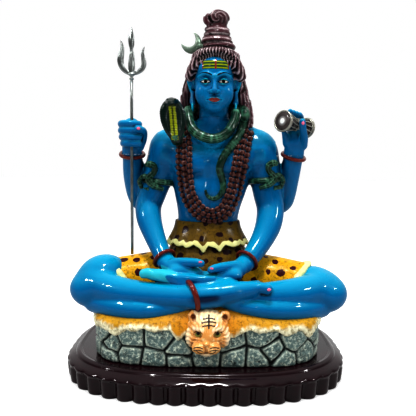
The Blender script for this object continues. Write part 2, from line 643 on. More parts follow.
# %% Legs
def model_legs(clay):
    for side, x, z in ((-1, -66.5, 37.2), (1, 69.5, 35.4)):
        clay.egg([x + side * 1.6, -11, z - 0.4], [17, 15.4, 13], turn=(0, side * 6, -side * 24), soft=3)
        clay.egg([x - side, -8, z + (7 if side < 0 else 2.6)], [15.4, 14, 12],
                 turn=(0, side * 14, -side * 20), soft=3)
        clay.limb([[side * 18, 4, 36, 15], [side * 42, 0, 35, 14], [x, -7, z - 1, 12]], soft=3)
    # The shin in front, and the other behind it; below each lies the fold of the calf.
    clay.limb([[-68, -16, 39.4, 10], [-52, -26.5, 37.8, 8.8], [-34, -34.4, 38, 7.6], [-16, -39.8, 38.6, 7],
               [-5, -42, 39.2, 6.8], [5, -42.2, 40, 6.2]], soft=2)
    clay.limb([[-68, -17, 29.6, 7.6], [-52, -29.4, 29.4, 7.6], [-36, -37, 30, 6.8], [-21, -39.6, 32, 5],
               [-12, -40.6, 34.4, 4]], soft=0.7)
    clay.limb([[70, -15, 37.6, 10.4], [54, -25.6, 37.2, 9.6], [36, -32.4, 37.6, 8], [16, -35.6, 37.4, 7],
               [2, -36, 37, 6]], soft=2)
    clay.limb([[70, -17, 28, 7.8], [55, -29.4, 28.8, 7.6], [39, -37, 30.6, 6.4], [24, -40.6, 33.2, 4.8],
               [13, -40.6, 35, 3.6]], soft=0.7)


# %% Hands in the lap
THUMB_TIPS = {-1: (-3.0, -38.6, 57.7), 1: (2.6, -39.4, 54.2)}


def model_lap_hands(clay):
    # Both palms face up. The hand at -X lies on the other, and the thumbs almost meet.
    for side, wrist, palm, tip in ((-1, (-24.4, -20.8, 54.6), (-7, -33.6, 51), THUMB_TIPS[-1]),
                                   (1, (23.2, -20.6, 54), (5, -34.4, 48.4), THUMB_TIPS[1])):
        wrist, palm, tip = np.array(wrist), np.array(palm), np.array(tip)
        clay.limb([[*wrist, 5.2], [*(wrist * 0.62 + palm * 0.38 + (0, -1.4, -0.6)), 6.6],
                   [*(wrist * 0.3 + palm * 0.7 + (0, -0.6, -0.6)), 6.8], [*(palm + (0, 0, -0.8)), 5.4]],
                  soft=2, flat=((0, 0, 1), 0.8))
        clay.egg(wrist * 0.42 + palm * 0.58 + (0, -3.6, -0.4), [8.6, 5.6, 4.6],
                 turn=(0, side * 8, -side * 20), soft=1.6)
        root = wrist * 0.7 + palm * 0.3 + (0, -3, 2)
        clay.limb([[*root, 3.2], [*(root * 0.55 + tip * 0.45 + (0, -1.4, 0.7)), 2.9],
                   [*(root * 0.2 + tip * 0.8 + (0, -0.6, 0.6)), 2.5], [*tip, 2.1]], soft=1.2)
        for finger in range(4):
            y = -40.4 + 3.7 * finger
            reach = 15 - 1.5 * abs(finger - 1.3)
            start = palm[0] + side * 8
            clay.limb([[start, y + 2.2, palm[2] - 1.8, 2.8], [start - side * 8, y + 0.4, palm[2] - 2, 2.5],
                       [start - side * (reach + 1), y, palm[2] - 2, 2.3],
                       [start - side * (reach + 6), y + 0.3, palm[2] - 1.6, 1.8]], soft=0.7)


# %% Raised fist and the hand with the drum
STAFF_AT = (-47.3, -4.6)
FIST_BASE, FIST_TOP = 124.4, 140.2


def unit(vector):
    """The same direction, one unit long."""
    return np.asarray(vector, float) / np.linalg.norm(vector)


DRUM_MIDDLE = np.array([54.9, 0.6, 139.2])
DRUM_AXIS = unit([18.2, 17.6, -3.4])


def model_fist(clay):
    clay.limb([[-48.5, 5, 120, 5.8], [-48.6, 3.4, 124.5, 5.9], [-48.4, 1, 131, 6.6], [-48.2, 0.4, 137, 5.4]],
              soft=2)
    clay.egg([-48.4, -3.4, 133], [5.6, 4.4, 6.8], soft=1)
    pitch = (FIST_TOP - FIST_BASE) / 4
    for finger in range(4):
        z = FIST_BASE + (finger + 0.5) * pitch
        drop = 0.5 * (1.5 - finger) ** 2 / 2.25 + 0.55 * (3 - finger)
        clay.limb([[-52, 3, z, 2.1], [-54.4 + drop * 0.8, -3, z, 2.2], [-52.4 + drop * 0.8, -8.2, z, 2.25],
                   [-47.4, -9.8 + drop, z - 0.1, 2.25], [-42.6, -7.4, z - 0.3, 2.1]], soft=0.8)
    clay.limb([[-43.6, 2.4, 124.4, 3.1], [-41.4, -0.8, 129, 3], [-40.2, -4.8, 133, 2.6],
               [-41, -8, 134.4, 2.3], [-43.2, -10, 134.8, 2]], soft=0.8)


def model_drum_hand(clay):
    clay.limb([[55.3, 4.8, 120, 5.9], [55.6, 4, 124.4, 6.2], [56, 3.2, 129, 7.2], [56.2, 4.4, 133.6, 5.6]],
              soft=2, flat=((0, 1, 0), 0.8))
    clay.limb([[50.4, 2.4, 128, 2.6], [49, 0.2, 131.6, 2], [48, -0.6, 134.4, 1.5]], soft=1.6)
    clay.limb([[60.4, 1, 126.4, 2.9], [60.2, -3.2, 131, 2.5], [58.8, -6.4, 136.2, 2.2],
               [58.2, -7.4, 140.6, 2]], soft=1.4)
    for finger in range(4):
        base = DRUM_MIDDLE + DRUM_AXIS * (finger - 1.5) * 3.3
        clay.limb([[*(base + (1.6, 4.4, -8.6)), 2.2], [*(base + (3.2, 7.4, -1.6)), 2],
                   [*(base + (1.8, 4.6, 5.4)), 1.8], [*(base + (0, 0.6, 7.2)), 1.7]], soft=0.5)


# %% Feet
def model_front_foot(clay):
    clay.limb([[-6, -41.8, 39.2, 6.2], [2, -42.2, 40, 6.4], [10, -42.2, 41.2, 6.3], [18, -41.8, 42.6, 5.6],
               [26, -41, 43.8, 4.4]], soft=3)
    for toe in range(5):
        size = 3.1 - 0.33 * toe
        y = -42 + 2.7 * toe
        reach = 37.6 - 1.5 * toe
        clay.limb([[23, y + 0.6, 43.8, size], [30, y, 44.8, size * 0.95],
                   [reach - size, y + 0.2, 44.2, size]], soft=0.9)


def model_tucked_foot(clay):
    clay.limb([[-4, -38, 41.6, 4.6], [-11, -38, 45.6, 4.2], [-19, -36.4, 48, 4.2], [-27, -34.4, 49.4, 4],
               [-32, -33, 49.6, 3.2]], soft=0.8)
    clay.egg([-20.4, -36, 49.8], [9.6, 4.6, 3.2], turn=(0, 9, -12), soft=0.7)
    clay.limb([[-29.4, -35, 49.4, 2.6], [-33.4, -33.8, 50.6, 3.1], [-36.4, -33, 50.2, 2.8]], soft=0.6)
    for toe in range(1, 5):
        size = 2.5 - 0.22 * toe
        clay.limb([[-29, -34 + 2.4 * toe, 49.4, size], [-36 + toe, -33 + 2.4 * toe, 49.8, size]], soft=0.6)


def pale_sole(x, y, z):
    """Where the tucked foot's sole and toes are painted paler."""
    low = np.interp(x, (-38, -30, -20, -12), (46.4, 46.4, 45.4, 43.6))
    top = np.interp(x, (-30, -20, -12), (55, 53.8, 50))
    on_foot = (x > -41) * (y < -26) * (y > -40) * np.clip((-11 - x) / 4, 0, 1)
    return on_foot * np.clip((z - low) / 2.6, 0, 1) * np.clip(top - z, 0, 1)


# %% [markdown]
# The head follows the old workshop rule of thirds: hairline to brow, brow to the base of the
# nose, and nose to chin are equal, the eyes lie one third of the way down from the brow, and
# the mouth one third below the nose. It is a calm, general face with long pierced lobes.

# %% Head
FACE_X, FACE_FRONT = 3.8, -9.0
HAIRLINE, CHIN = 178.0, 146.0
THIRD = (HAIRLINE - CHIN) / 3
BROW = HAIRLINE - THIRD
NOSE_BASE = BROW - THIRD
EYES = BROW - THIRD * 0.3
MOUTH = NOSE_BASE - THIRD / 3
EYE_OUT = 5.5
FACE_HALF = 12.6


def model_head(clay):
    x, front = FACE_X, FACE_FRONT
    clay.egg([x, 4.4, 165], [FACE_HALF, 13, 18.6], soft=1)
    clay.egg([x, 1.2, MOUTH + 2], [FACE_HALF * 0.78, 9.2, 10], soft=3)
    clay.egg([x, -5, CHIN + 3.1], [4.6, 3.6, 3.2], soft=3)
    clay.egg([x, -3.4, 173], [9.4, 4.6, 6], soft=3)
    for side in (-1, 1):
        clay.egg([x + side * 6.2, -3.6, NOSE_BASE + 0.6], [5, 4, 5.6], soft=5)
        clay.egg([x + side * EYE_OUT, -10.8, EYES], [4, 3.2, 2.6], soft=2.6, carve=True)
        clay.limb(mirrored(x, side, (1.6, -9.1, BROW + 0.1, 1), (5.4, -8.4, BROW + 1.5, 1),
                           (9.6, -4.6, BROW + 0.1, 0.9)), soft=2)
        clay.egg([x + side * EYE_OUT, -5.5, EYES], [3.5, 2.7, 2.5], soft=0.6)
        inner, outer = EYE_OUT - 3, EYE_OUT + 3.3
        clay.limb(mirrored(x, side, (inner, -7.3, EYES - 0.5, 0.3), (EYE_OUT - 1, -8.7, EYES + 1.15, 0.5),
                           (EYE_OUT + 1.4, -8.1, EYES + 1.05, 0.5), (outer, -5.6, EYES - 0.1, 0.35)),
                  soft=0.5)
        clay.limb(mirrored(x, side, (inner, -7.3, EYES - 0.6, 0.3), (EYE_OUT, -8.4, EYES - 1.4, 0.4),
                           (outer, -5.7, EYES - 0.3, 0.3)), soft=0.5)
        clay.egg([x + side * 1.95, front - 1, NOSE_BASE + 1.2], [1.5, 1.9, 1.3], soft=1)
        clay.limb(mirrored(x, side, (12.4, 4.4, EYES + 0.4, 0.9), (13.6, 3.8, EYES + 3.6, 0.9),
                           (15.6, 4.6, EYES + 4.8, 0.9), (16.6, 6, EYES + 2.4, 0.9),
                           (15.6, 6, EYES - 1.6, 0.9), (13.8, 5, NOSE_BASE + 1.6, 1.1)), soft=0.5)
        clay.egg([x + side * 13.8, 6.4, EYES + 1], [2.3, 1.6, 4.4], turn=(0, side * 12, 0), soft=0.8)
        clay.limb(mirrored(x, side, (13.4, 4.6, NOSE_BASE + 2, 1.3), (13.8, 4, NOSE_BASE - 1.6, 1.5),
                           (13.6, 3.8, MOUTH - 0.4, 1.9)), soft=0.8)
        clay.limb([[x + side * 13.7, 3.8 + 2.4 * math.cos(t), MOUTH - 3.4 + 2.4 * math.sin(t), 0.75]
                   for t in np.linspace(0, 2 * math.pi, 9)], soft=0.3, steps=2)
    clay.limb([[x, front + 0.8, BROW - 0.6, 1.3], [x, front - 0.6, EYES - 1.6, 1.3],
               [x, front - 2.2, NOSE_BASE + 3.4, 1.4], [x, front - 3, NOSE_BASE + 1.8, 1.75]], soft=1.6)
    clay.limb([[x, front - 0.7, NOSE_BASE - 1, 0.3], [x, front - 1.2, MOUTH + 1.7, 0.3]], soft=0.8,
              carve=True)
    clay.egg([x, -6.4, MOUTH + 0.4], [5.4, 3.4, 3.6], soft=2)
    clay.limb([[x - 4.2, front + 1.1, MOUTH + 0.2, 0.4], [x - 1.5, front - 0.9, MOUTH + 1.05, 0.8],
               [x, front - 1.2, MOUTH + 0.75, 0.8], [x + 1.5, front - 0.9, MOUTH + 1.05, 0.8],
               [x + 4.2, front + 1.1, MOUTH + 0.2, 0.4]], soft=0.5)
    clay.limb([[x - 3.5, front + 0.7, MOUTH - 0.4, 0.5], [x, front - 0.9, MOUTH - 1.05, 1.05],
               [x + 3.5, front + 0.7, MOUTH - 0.4, 0.5]], soft=0.5)
    clay.limb([[x - 4.3, front + 0.6, MOUTH + 0.1, 0.25], [x, front - 1.9, MOUTH, 0.3],
               [x + 4.3, front + 0.6, MOUTH + 0.1, 0.25]], soft=0.4, carve=True)
    clay.egg([x, front - 1, MOUTH - 3.2], [2.6, 0.9, 0.9], soft=1.4, carve=True)


# %% Painted face
LID_HALF, IRIS_RADIUS = 3.1, 1.05
ASH_ROWS = (176.4, 174.5, 172.6)
ASH_X, ASH_HALF, ASH_TALL = FACE_X + 0.6, 8.0, 2.7    # middle, half-width and half-height


def eye_shape(x, z):
    """How far inside the eye's almond a point lies."""
    across = np.abs(x - FACE_X) - EYE_OUT
    open_share = 1 - (across / LID_HALF) ** 2
    return np.minimum(0.95 * open_share - (z - EYES), (z - EYES) + 0.85 * open_share), across


def in_front(y, value):
    """A painted shape on the front of the head alone."""
    return np.where(y < -1.5, value, -1.0)


def brow_line(x, y, z):
    across = np.abs(x - FACE_X)
    curve = BROW + 0.5 + 1.7 * np.sin(np.clip((across - 1.6) / 9, 0, 1) * math.pi * 0.85)
    width = 0.5 * np.clip(1.3 - across / 12, 0.2, 1)
    return in_front(y, np.minimum(width - np.abs(z - curve), np.minimum(across - 1.6, 10.2 - across)))


def eye_white(x, y, z):
    return in_front(y, eye_shape(x, z)[0])


def iris(x, y, z):
    inside, across = eye_shape(x, z)
    return in_front(y, np.minimum(IRIS_RADIUS - np.hypot(across, z - EYES - 0.1), inside))


def lid_line(x, y, z):
    inside, across = eye_shape(x, z)
    line = 0.28 - np.abs(inside + 0.1)
    return in_front(y, np.minimum(line, np.where(z > EYES - 0.3, 1, 0.05 + line)))


def lips(x, y, z):
    across = np.abs(x - FACE_X)
    upper = MOUTH + 1.35 * (1 - (across / 3.9) ** 2) - 0.4 * np.exp(-(across / 0.8) ** 2)
    lower = MOUTH - 1.55 * (1 - (across / 3.5) ** 2)
    return in_front(y, np.minimum(upper - z, z - lower))


def ash_field(x, y, z):
    return in_front(y, np.minimum(ASH_HALF - np.abs(x - ASH_X), ASH_TALL - np.abs(z - ASH_ROWS[1])))


def ash_lines(x, y, z):
    rows = np.max([0.42 - np.abs(z - row) for row in ASH_ROWS], axis=0)
    return in_front(y, np.minimum(rows, ASH_HALF - 0.2 - np.abs(x - ASH_X)))


def ash_edge(x, y, z):
    upright = np.minimum(0.45 - np.abs(x - ASH_X), 3.2 - np.abs(z - ASH_ROWS[1] - 0.3))
    ends = np.minimum(0.25 - np.abs(np.abs(x - ASH_X) - ASH_HALF), ASH_TALL - np.abs(z - ASH_ROWS[1]))
    return in_front(y, np.maximum(upright, ends))


FACE_PAINT = {"brow_line": brow_line, "eye_white": eye_white, "iris": iris, "lid_line": lid_line,
              "lips": lips, "ash_field": ash_field, "ash_lines": ash_lines, "ash_edge": ash_edge}


# %% The body fired in blocks
def fineness(fine):
    """A number for the full scene, or a coarser one for a quick export."""
    return fine


def model_body(clay):
    for form in (model_torso, model_front_arms, model_rear_arms, model_legs, model_lap_hands, model_fist,
                 model_drum_hand, model_front_foot, model_tucked_foot, model_head):
        form(clay)


# Two corners and the size of the clay's cells. The body's own skin stops a little way inside.
BLOCKS = {
    "head": ((-14, -17, 143.5), (22, 22, 188), 0.35),
    "lap_hands": ((-42, -50, 34), (41, -17, 61), 0.55),
    "fist": ((-62, -16, 119.5), (-34, 14, 145), 0.4),
    "drum_hand": ((43, -14, 119.5), (72, 20, 152), 0.4),
}
BLOCK_OVERLAP = 0.8
for block, (low, high, cell) in BLOCKS.items():
    block_clay = Clay(low, high, fineness(cell))
    model_body(block_clay)
    if block == "head":
        fire(block, block_clay, face_lacquer, masks=FACE_PAINT)
    else:
        fire(block, block_clay, blue_lacquer, masks={"pale": pale_sole})
body_clay = Clay((-86, -52, 18), (89, 36, 150), fineness(1.0))
model_body(body_clay)
inside_blocks = [(np.array(low) + BLOCK_OVERLAP, np.array(high) - BLOCK_OVERLAP)
                 for low, high, _ in BLOCKS.values()]
fire("body", body_clay, blue_lacquer, leave_out=inside_blocks)

# %% [markdown]
# Not everything is clay. Rings, cords, turned drums, cloth and the plinth are even forms, so
# rows of points are laid along a curve or round an outline and joined by four-sided faces.

# %% Rows of points into skins
def grid_faces(rows, columns, wrap_rows=False):
    """Four-sided faces over rows of points that each close on themselves."""
    i, j = np.meshgrid(np.arange(rows if wrap_rows else rows - 1), np.arange(columns), indexing="ij")
    here, above = i * columns, (i + 1) % rows * columns
    beside = (j + 1) % columns
    return np.stack([here + j, here + beside, above + beside, above + j], -1).reshape(-1, 4)


def loft(rings):
    """Rings of points one above another, closed by a fan at each end."""
    rings = np.asarray(rings, float)
    rows, columns = rings.shape[:2]
    here = np.arange(columns)
    ahead = np.roll(here, -1)
    last = (rows - 1) * columns
    fans = [np.stack([np.full(columns, rows * columns), ahead, here], axis=1),
            np.stack([np.full(columns, rows * columns + 1), last + here, last + ahead], axis=1)]
    points = np.vstack([rings.reshape(-1, 3), rings[0].mean(0), rings[-1].mean(0)])
    return points, [grid_faces(rows, columns), *fans]


def gather(parts):
    """Several skins as one set of points and faces."""
    points, faces, start = [], [], 0
    for part_points, part_faces in parts:
        part_faces = [part_faces] if isinstance(part_faces, np.ndarray) else part_faces
        points.append(part_points)
        faces += [np.asarray(f) + start for f in part_faces]
        start += len(part_points)
    return np.vstack(points), faces


def joined_piece(name, parts, material, masks=None, **kind):
    """Several skins in pose units as one piece."""
    points, faces = gather(parts)
    make_piece(name, place(points), faces, material, masks, **kind)


def run_along(line):
    """How far along a line of points each of them lies."""
    return np.concatenate([[0], np.cumsum(np.linalg.norm(np.diff(line, axis=0), axis=1))])


def full_turn(count):
    """Angles spaced evenly round a full turn."""
    return np.arange(count) / count * 2 * np.pi


def carried_frames(centre):
    """Two directions across a curve at each point, carried along without twisting."""
    along = np.gradient(centre, axis=0)
    along /= np.maximum(np.linalg.norm(along, axis=1, keepdims=True), 1e-9)
    first = np.cross(along[0], (0.31, 0.17, 0.93))
    side = [first / np.linalg.norm(first)]
    for direction in along[1:]:
        moved = side[-1] - direction * np.dot(side[-1], direction)
        side.append(moved / np.linalg.norm(moved))
    side = np.array(side)
    return side, np.cross(along, side)


def cord(stations, sides, steps, relief=None):
    """A round cord through stations [x, y, z, radius]. Relief gets the run and the turn at each point."""
    line = smooth_line(stations, steps)
    centre, radius = line[:, :3], np.maximum(line[:, 3], 0.02)
    side, other = carried_frames(centre)
    turn = full_turn(sides)
    run_grid, turn_grid = np.meshgrid(run_along(centre), turn, indexing="ij")
    size = radius[:, None] + (relief(run_grid, turn_grid) if relief else 0)
    rings = (centre[:, None] + (size * np.cos(turn))[..., None] * side[:, None]
             + (size * np.sin(turn))[..., None] * other[:, None])
    return loft(rings), run_grid, turn_grid


def hoop(centre, direction, radius, wire, around=64, sides=14):
    """A ring of round wire round an axis."""
    axis = unit(direction)
    side = unit(np.cross(axis, (0.2, 0.3, 1) if abs(axis[2]) < 0.9 else (1, 0.2, 0)))
    other = np.cross(axis, side)
    a, b = np.meshgrid(full_turn(around), full_turn(sides), indexing="ij")
    out = radius + wire * np.cos(b)
    points = (np.array(centre) + (out * np.cos(a))[..., None] * side + (out * np.sin(a))[..., None] * other
              + (wire * np.sin(b))[..., None] * axis)
    return points.reshape(-1, 3), grid_faces(around, sides, wrap_rows=True)[:, ::-1]


PEBBLE_AROUND, PEBBLE_UP = 12, 8


def pebble_grid():
    """The rise and the turn of each point of a pebble, without its two ends."""
    rises = np.linspace(-0.5, 0.5, PEBBLE_UP + 1)[1:-1] * np.pi
    return np.meshgrid(rises, full_turn(PEBBLE_AROUND), indexing="ij")


def pebble(centre, radii, turn=(0, 0, 0), bumps=None):
    """A small egg form as points and faces."""
    rise, angle = pebble_grid()
    size = 1 + (bumps(rise, angle) if bumps is not None else 0)
    flat = np.cos(rise) * size
    points, faces = loft(np.stack([flat * np.cos(angle), flat * np.sin(angle), np.sin(rise) * size], -1))
    points[-2:] = (0, 0, -1), (0, 0, 1)
    return points * radii @ turned(turn).T + centre, faces


DEPTHS = np.arange(-60.0, 30, 0.25)     # where a straight look from the front is tested for clay
BESIDE = 4.0                            # the depth given where it meets none


def front_of(clay, x, z):
    """How far forward the clay reaches at places (x, z)."""
    x, z = np.atleast_1d(x), np.atleast_1d(z)
    points = np.stack(np.broadcast_arrays(x[:, None], DEPTHS[None], z[:, None]), -1).reshape(-1, 3)
    within = np.all((points > clay.low) & (points < clay.low + clay.cell * (clay.count - 1)), axis=1)
    inside = ((clay.measure(points) < 0) & within).reshape(len(x), -1)
    return np.where(inside.any(axis=1), DEPTHS[np.argmax(inside, axis=1)], BESIDE)


LATTICE_SIDE = 24
lattice = np.random.default_rng(11).uniform(-1, 1, (LATTICE_SIDE,) * 3).astype(np.float32)


def lumps(x, y, z, size):
    """Smooth unevenness between -1 and 1, with lumps of the given size."""
    places = [np.asarray(v, np.float32) / size for v in (x, y, z)]
    base = [np.floor(p).astype(int) for p in places]
    part = [p - b for p, b in zip(places, base)]
    part = [p * p * (3 - 2 * p) for p in part]
    total = 0
    for corner in CORNERS:
        shares = [p if c else 1 - p for p, c in zip(part, corner)]
        at = tuple((b + c) % LATTICE_SIDE for b, c in zip(base, corner))
        total = total + shares[0] * shares[1] * shares[2] * lattice[at]
    return total


# %% [markdown]
# The hair is combed up from the forehead into a coiled topknot with a bun, and falls behind the
# shoulders. The mass is pressed on first, the face is cut free, and the strands are raised last,
# as a carver would. Dark paint in the grooves and a dry brush of pale pink on top do the rest.

# %% Hair materials
hair_paint, tree, shader = finish("hair_paint", roughness=0.4, coat=0.5, coat_roughness=0.15)
hair_tone = airbrushed(tree, rgb(0.30, 0.13, 0.17), rgb(0.05, 0.01, 0.02), rgb(0.68, 0.50, 0.54),
                       hollow_share=2.4, edge_share=0.8, edge_start=0.4, clouding=0.5, cloud_scale=160.0)
dry_brush = maths(tree, "MULTIPLY", mask(tree, "crest"), touches(tree, 300.0, 0.32, 3.6))
lay_colour(shader, blend(tree, dry_brush, hair_tone, rgb(0.98, 0.90, 0.91)))

# %% Strands
HAIR_MIDDLE = (4.8, 8.6)
STRANDS, STRAND_HEIGHT, FALLEN_HEIGHT = 52, 0.42, 0.4
BUN_X, BUN_Z = 5.6, 205
COIL_LOW, COIL_TOP = 186.5, 201       # the coiled topknot starts and ends here


def strands(x, y, z):
    """Combed strands round the head, each a little wavy."""
    angle = np.arctan2(y - HAIR_MIDDLE[1], x - HAIR_MIDDLE[0])
    wave = np.cos(angle * STRANDS + 1.1 * np.sin(z * 0.45 + angle * 3))
    fade = np.clip((COIL_LOW - z) / 2, 0, 1) * np.clip((z - 158) / 3, 0, 1)
    return STRAND_HEIGHT * wave * fade


def fallen_strands(x, y, z):
    """Strands that hang behind the shoulders."""
    wave = np.cos((x - 4) * 2.6 + 1.4 * np.sin(z * 0.22 + x * 0.15)) + 0.5 * np.cos(y * 2.1 + z * 0.35)
    return FALLEN_HEIGHT * wave * np.clip((162 - z) / 4, 0, 1)


def coil_strands(x, y, z):
    """Finer strands that slant round the coils of the topknot."""
    wave = np.cos(np.arctan2(y - 8.6, x - 5.2) * 34 + z * 3)
    return 0.16 * wave * np.clip((z - 186) / 2, 0, 1) * np.clip(COIL_TOP - z, 0, 1)


def bun_swirl(x, y, z):
    """Strands that swirl outwards on the bun."""
    away = np.hypot(x - BUN_X, z - BUN_Z)
    angle = np.arctan2(z - BUN_Z, x - BUN_X)
    return 0.38 * np.cos(angle * 3 + away * 2.4) * np.clip((z - COIL_TOP) / 1.5, 0, 1)


# %% The mass of the hair
hair_clay = Clay((-22, -14, 96), (33, 34, 212), fineness(0.53))
hair_clay.egg([4.6, 8.6, 173.4], [17.2, 14.8, 14.8], soft=1)
hair_clay.egg([4.6, 10, 163], [15.8, 12.6, 12], soft=3)
hair_clay.limb([[-8, 1.6, 181, 2.2], [-3, -2.6, 182.6, 2.6], [4.6, -4, 183, 2.8], [12, -2.6, 182.6, 2.6],
                [17, 1.6, 181, 2.2]], soft=3)
ROLL_END = 0.22               # the roll of hair over the brow stops this far above the ears, in radians
hair_clay.limb([[4.6 + 16 * math.cos(t), 2.4 - 6.4 * math.sin(t), 165 + 16.8 * math.sin(t), 3.3]
                for t in np.linspace(ROLL_END, math.pi - ROLL_END, 13)], soft=1.6)
FALLS = (
    [[-11, 12, 168, 3.6], [-13.2, 12.6, 158, 4.2], [-14, 14, 149, 4], [-13, 16.4, 139, 4],
     [-9, 20.4, 126, 3]],
    [[19.4, 11, 168, 3.8], [22.4, 11, 157, 4.2], [24.4, 8.6, 149, 3.8], [26, 5.4, 142.6, 3],
     [26.6, 3, 138.6, 1.9]],
    [[-6, 17, 166, 5.2], [-7, 19.6, 148, 5.6], [-6, 24, 128, 5], [-3, 25, 110, 3]],
    [[4.4, 19.4, 166, 5.8], [4.4, 22.2, 148, 6.2], [4.4, 25.6, 128, 5.4], [4.4, 25.8, 103, 2.8]],
    [[14, 17, 166, 5.2], [15.6, 19.4, 148, 5.6], [14.6, 23.6, 128, 5], [11, 25, 108, 3]],
)
for fall in FALLS:
    hair_clay.limb(fall, soft=2.4)
hair_clay.egg([FACE_X, -10, 163.2], [13.2, 15, 15.2], soft=0.8, carve=True)
hair_clay.limb([[-9.4, -1.4, 173.4, 1.2], [-6.6, -4, 177.6, 1.6], [-1.6, -5.8, 179.6, 1.9],
                [4.6, -6.4, 180.2, 2], [10.4, -5.8, 179.6, 1.9], [15.4, -4, 177.6, 1.6],
                [18, -1.4, 173.4, 1.2]], soft=1.2, carve=True)
for side in (-1, 1):
    hair_clay.egg([FACE_X + side * 13.6, 4.6, 160.6], [3.6, 5.4, 7], soft=1, carve=True)
    hair_clay.egg([FACE_X + side * 9.6, -7, 165.6], [5.6, 9.6, 8.4], soft=1.6, carve=True)
    hair_clay.egg([FACE_X + side * 12, -4, 152], [5, 8, 6], soft=2, carve=True)
hair_clay.relief(strands)
hair_clay.relief(fallen_strands)
print("the hair's clay has", hair_clay.field.size, "cells")

# %% The topknot and its bun
hair_clay.stack([[183, 4.9, 8.6, 12, 10.6], [187, 5.1, 8.6, 9.4, 8.6], [192, 5.3, 8.6, 8, 7.4],
                 [197, 5.4, 8.6, 6.8, 6.4], [202, 5.6, 8.6, 5.8, 5.4]], soft=0.6)
# Height, radius and thickness of each coil.
COILS = ((187.6, 10.2, 1.75), (190.7, 8.7, 1.5), (193.2, 8, 1.35), (195.8, 7.2, 1.3), (198.6, 6.6, 1.4))
for height, radius, thick in COILS:
    hair_clay.limb([[5.2 + radius * math.cos(t), 8.6 + radius * 0.94 * math.sin(t),
                     height + 0.45 * math.cos(t + height), thick]
                    for t in np.linspace(0, 2 * math.pi, 17)], soft=0.5, steps=2)
hair_clay.egg([5.7, 8.6, 205.2], [7.2, 6.6, 5.6], soft=0.6)
hair_clay.limb([[-0.2, 4.4, 201.2, 1.5], [-2, 4.2, 203.2, 1.5], [-1.6, 4.2, 205.8, 1.3],
                [0.4, 4, 206.6, 1.1]], soft=0.5)
hair_clay.relief(bun_swirl, (-6, -2, 201), (17, 20, 212))
hair_clay.relief(coil_strands, (-9, -6, 185), (20, 23, 202))


def crest(x, y, z):
    """The tops of the strands, where a dry brush catches."""
    raised = strands(x, y, z) / STRAND_HEIGHT + fallen_strands(x, y, z) / 0.5 + bun_swirl(x, y, z) / 0.6
    coils = np.cos((z - 186.6) * 2 * math.pi / 2.9)
    coils = coils * np.clip((z - COIL_LOW) / 1.5, 0, 1) * np.clip(COIL_TOP - z, 0, 1)
    return np.clip(raised + coils - 0.2, 0, 1) * np.where((z > 160) & (y < 5), 1.0, 0.4)


fire("hair", hair_clay, hair_paint, masks={"crest": crest})

# %% Crescent moon
moon_paint, tree, shader = finish("moon_silver", roughness=0.32, coat=0.4, metallic=0.35)
lay_colour(shader, airbrushed(tree, rgb(0.44, 0.52, 0.46), rgb(0.08, 0.14, 0.10), rgb(0.86, 0.92, 0.86),
                              hollow_share=1.6, edge_share=0.5, clouding=0.6, cloud_scale=300.0))
moon_clay = Clay((-21, -6, 178), (0, 10, 199), 0.3)
moon_clay.egg([-10.8, 1.2, 189.0], [6.7, 1.9, 6.7], turn=(0, 0, 18), soft=0.4)
moon_clay.egg([-13.1, 1.2, 191.2], [5.3, 5, 5.5], soft=0.3, carve=True)
moon_clay.limb([[-5.6, 2, 187, 1.6], [-1, 4, 186.6, 2], [2, 6, 186.4, 2]], soft=1.2)
fire("crescent_moon", moon_clay, moon_paint)

# %% [markdown]
# Snakes serve as necklace and arm rings. A scale is a diamond between two sets of slanting
# grooves, so the cord's own radius is raised by that pattern. The same pattern, kept as a mask,
# tells the material where the mint dry brush has caught.

# %% Snake materials
snake_paint, tree, shader = finish("snake_paint", roughness=0.35, coat=0.4, coat_roughness=0.1)
scale_tone = airbrushed(tree, rgb(0.01, 0.18, 0.12), rgb(0.0, 0.05, 0.03), rgb(0.45, 0.72, 0.58),
                        hollow_share=1.2, edge_share=0.0, clouding=0.5, cloud_scale=120.0)
patches = ramp(tree, cloud(tree, 130.0), 3.0, -1.2)
brushed = maths(tree, "MULTIPLY", mask(tree, "scale"), patches, clamp=True)
lay_colour(shader, blend(tree, brushed, scale_tone, rgb(0.42, 0.66, 0.54)))

# %% Scaly cords
SCALE_DEPTH = 0.16


def scales(run, turn, radius, pitch):
    """Diamond scales, as a height and as a mask."""
    around = round(2 * math.pi * radius / pitch)
    a, b = run * np.pi / pitch + turn * around / 2, run * np.pi / pitch - turn * around / 2
    pattern = np.abs(np.cos(a) * np.cos(b)) + np.abs(np.sin(a) * np.sin(b))
    return SCALE_DEPTH * (pattern - 0.5) * 2, np.clip((pattern - 0.84) * 7, 0, 1)


def snake(stations, radius, sides=44, pitch=1.25):
    """A scaly snake's body and its scale mask."""
    (points, faces), run, turn = cord(stations, sides, 8, lambda r, t: scales(r, t, radius, pitch)[0])
    pattern = scales(run, turn, radius, pitch)[1].ravel()
    return points, faces, np.concatenate([pattern, [0, 0]])


def snake_piece(name, snakes):
    """Several snakes as one painted piece."""
    scale = np.concatenate([pattern for *_, pattern in snakes])
    joined_piece(name, [(points, faces) for points, faces, _ in snakes], snake_paint, {"scale": scale})


